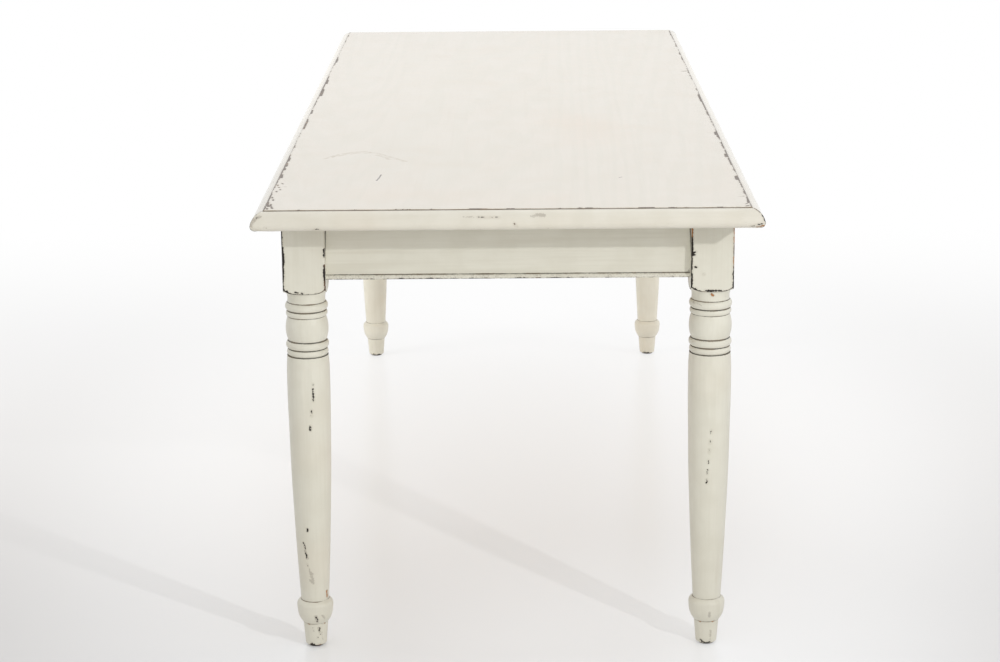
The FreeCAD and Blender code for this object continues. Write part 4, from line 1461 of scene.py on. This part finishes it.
def screwSpots(node):
    # place and direction of each head, which is the wider end, and the length
    spots = []
    for middle, way, half, solid in fastenerPlaces(node, True):
        reach = (solid - middle) @ way
        wide = np.linalg.norm((solid - middle) - np.outer(reach, way), axis=1)
        if wide[reach > 0].max() > wide[reach < 0].max():
            way = -way
        spots.append((middle - way * half, way))
    return spots, 2 * half / mm


def hangerSpots(node, long):
    # place of each outer end and the direction inward, and the length
    spots = []
    for middle, way, half, _ in fastenerPlaces(node, long):
        inward = way if way[:2] @ middle[:2] < 0 else -way
        spots.append((middle - inward * half, inward))
    return spots, 2 * half / mm


fastenerTree = instanceTree()
for node in ("brace_screws", "bearer_screws", "button_screws"):
    spots, length = screwSpots(node)
    setFasteners(node, screwShape(length), spots, fastenerTree)
spots, length = hangerSpots("hanger_bolts", True)
setFasteners("hanger_bolts", boltShape(length), spots, fastenerTree)
for node, shape in (("hanger_washers", washerShape), ("hanger_nuts", nutShape)):
    spots, _ = hangerSpots(node, False)
    setFasteners(node, shape(), spots, fastenerTree)
print("fasteners set in 6 groups")


# nail-on glides
footGlide = {
    "radius": 13.0, "thickness": 3.0, "rim": 1.2, "edge": 0.3, "sole": (0.6, 5.0, 9.0), "segments": 48,
    "nail": 1.2, "nailLength": 16.0, "nailPoint": 2.0, "nailTip": 0.2,
}


def glide(corner):
    node = "foot_glide_" + corner
    low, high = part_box(node)
    radius, thick, edge = footGlide["radius"], footGlide["thickness"], footGlide["edge"]
    rim, nail, tip = footGlide["rim"], footGlide["nail"], footGlide["thickness"] + footGlide["nailLength"]
    outline = [(r, 0.0) for r in footGlide["sole"]]
    quarter = [math.pi / 2 * i / 5 for i in range(6)]
    outline += [(radius - rim + rim * math.sin(a), rim - rim * math.cos(a)) for a in quarter]
    outline += [(radius, thick - edge), (radius - edge, thick), (nail, thick)]
    outline += [(nail, tip - footGlide["nailPoint"]), (footGlide["nailTip"], tip)]
    mesh = turnedSolid(node + "_moulded", outline, footGlide["segments"])
    mesh.transform(Matrix.Translation(((low.x + high.x) / 2, (low.y + high.y) / 2, low.z)))
    handOver(newPiece(node + "_moulded", mesh), nylon, "glide_plastic", node)


for corner in corners:
    glide(corner)
print("glides:", len(corners))


# floor, light and camera
studio = {
    "floorReach": 14.0,
    "floor": srgb(205, 203, 202),
    "floorPaintedLight": srgb(246, 247, 249),
    "floorRoughness": 0.22,
    "floorShine": 0.35,
    "lift": 0.09,         # glow of the floor everywhere, and a painted pool of light by the near end
    "nearPaintedGlow": 0.27,
    "world": 0.75,
    "anyLamp": {"tint": (1.0, 1.0, 1.0), "spread": 180, "mirrored": True},
    "lamps": {
        "key": {"at": (2.74, 1.64, 1.61), "aim": (2.0, -2.5, 0.5), "power": 22.3, "size": 0.07},
        "overhead": {"at": (-0.6, 0.0, 3.2), "aim": (-0.6, 0.0, 0.0), "power": 17.5, "size": 2.8},
        "fill": {"at": (3.7, -0.1, 0.72), "aim": (0.95, -0.05, 0.5), "power": 10.8, "size": 1.0,
                 "tint": (1.0, 0.95, 0.78), "mirrored": False},
        "sideRight": {"at": (0.2, 2.6, 0.8), "aim": (-0.92, 0.0, 0.3), "power": 4.9, "size": 1.2,
                      "tint": (1.0, 0.98, 0.94), "spread": 80, "mirrored": False},
        "sideLeft": {"at": (0.2, -2.6, 0.8), "aim": (-0.92, 0.0, 0.3), "power": 7.2, "size": 1.2,
                     "tint": (1.0, 0.98, 0.94), "spread": 80, "mirrored": False},
    },
    "lens": 87.06, "cameraAt": (4.71474, 0.0145, 1.53399), "yaw": -0.0075, "pitch": 0.2564, "roll": 0.0089,
}


def seenDirectly(start):
    # 1 for what the camera sees, also in a reflection or through glass
    direct, glossy, through = (start.node("ShaderNodeLightPath", out="Is %s Ray" % kind)
                               for kind in ("Camera", "Glossy", "Transmission"))
    return direct.maths("MAXIMUM", glossy).maths("MAXIMUM", through)


def floorMaterial():
    material, start, place = newMaterial("paleFloor")
    along = start.node("ShaderNodeSeparateXYZ", inputs={0: place}, out="X")
    # the floor fades to the white background behind the table
    near = place.vector("DISTANCE", (0.95, 0.2, 0.0), out="Value")
    far = place.vector("LENGTH", out="Value").smooth(3.2, 7.5)
    fade = far.maths("MAXIMUM", along.smooth(1.0, -2.4))
    # a painted glow by the near end of the table lifts the floor there
    lift = studio["lift"] + fade * (1 - studio["lift"]) + near.smooth(0.65, 0.1) * studio["nearPaintedGlow"]
    # and it is palest round the table, a painted pool of light
    drawn = place.vector("MULTIPLY_ADD", (0.45, 1.1, 0.0), (0.0, -0.05, 0.0))
    away = drawn.vector("LENGTH", out="Value")
    colour = away.smooth(0.5, 1.3).blend(studio["floorPaintedLight"], studio["floor"])
    finish = {"Roughness": studio["floorRoughness"], "Specular IOR Level": studio["floorShine"]}
    shader = start.node("ShaderNodeBsdfPrincipled", inputs={"Base Color": colour, **finish})
    glow = start.node("ShaderNodeEmission", inputs={"Color": (1, 1, 1, 1), "Strength": 1.0})
    mixed = start.node("ShaderNodeMixShader", inputs={0: lift * seenDirectly(start), 1: shader, 2: glow})
    start.node("ShaderNodeOutputMaterial", inputs={"Surface": mixed})
    return material


def floor():
    reach = studio["floorReach"]
    mesh = bpy.data.meshes.new("floor")
    outline = [(-reach, -reach, 0), (reach, -reach, 0), (reach, reach, 0), (-reach, reach, 0)]
    mesh.from_pydata(outline, [], [(0, 1, 2, 3)])
    mesh.materials.append(floorMaterial())
    piece = newPiece("floor", mesh)


def lamp(name):
    look = {**studio["anyLamp"], **studio["lamps"][name]}
    data = bpy.data.lights.new(name, "AREA")
    data.shape = "DISK"
    data.size = look["size"]
    data.energy = look["power"]
    data.color = look["tint"]
    data.spread = math.radians(look["spread"])
    made = newPiece(name, data)
    made.location = look["at"]
    aim = Vector(look["aim"]) - Vector(look["at"])
    made.rotation_euler = aim.to_track_quat("-Z", "Y").to_euler()
    made.visible_camera = False
    made.visible_glossy = look["mirrored"]


def worldLight():
    world = bpy.data.worlds.new("studio")
    bpy.context.scene.world = world
    world.use_nodes = True
    world.node_tree.nodes.clear()
    start = Wire(world.node_tree)
    seen = seenDirectly(start)
    light = start.node("ShaderNodeBackground", inputs={"Color": (1, 1, 1, 1), "Strength": studio["world"]})
    white = start.node("ShaderNodeBackground", inputs={"Color": (1, 1, 1, 1), "Strength": 1.0})
    back = start.node("ShaderNodeMixShader", inputs={0: seen, 1: light, 2: white})
    start.node("ShaderNodeOutputWorld", inputs={"Surface": back})


def camera():
    data = bpy.data.cameras.new("camera")
    data.sensor_width = 36.0
    data.lens = studio["lens"]
    made = newPiece("camera", data)
    turn = Matrix.Rotation(math.pi / 2 - studio["yaw"], 4, "Z")
    tilt = Matrix.Rotation(math.pi / 2 - studio["pitch"], 4, "X")
    roll = Matrix.Rotation(-studio["roll"], 4, "Z")
    made.matrix_world = Matrix.Translation(studio["cameraAt"]) @ turn @ tilt @ roll
    bpy.context.scene.camera = made


floor()
worldLight()
for name in studio["lamps"]:
    lamp(name)
camera()
bpy.context.scene.view_settings.view_transform = "Standard"
print("studio ready")
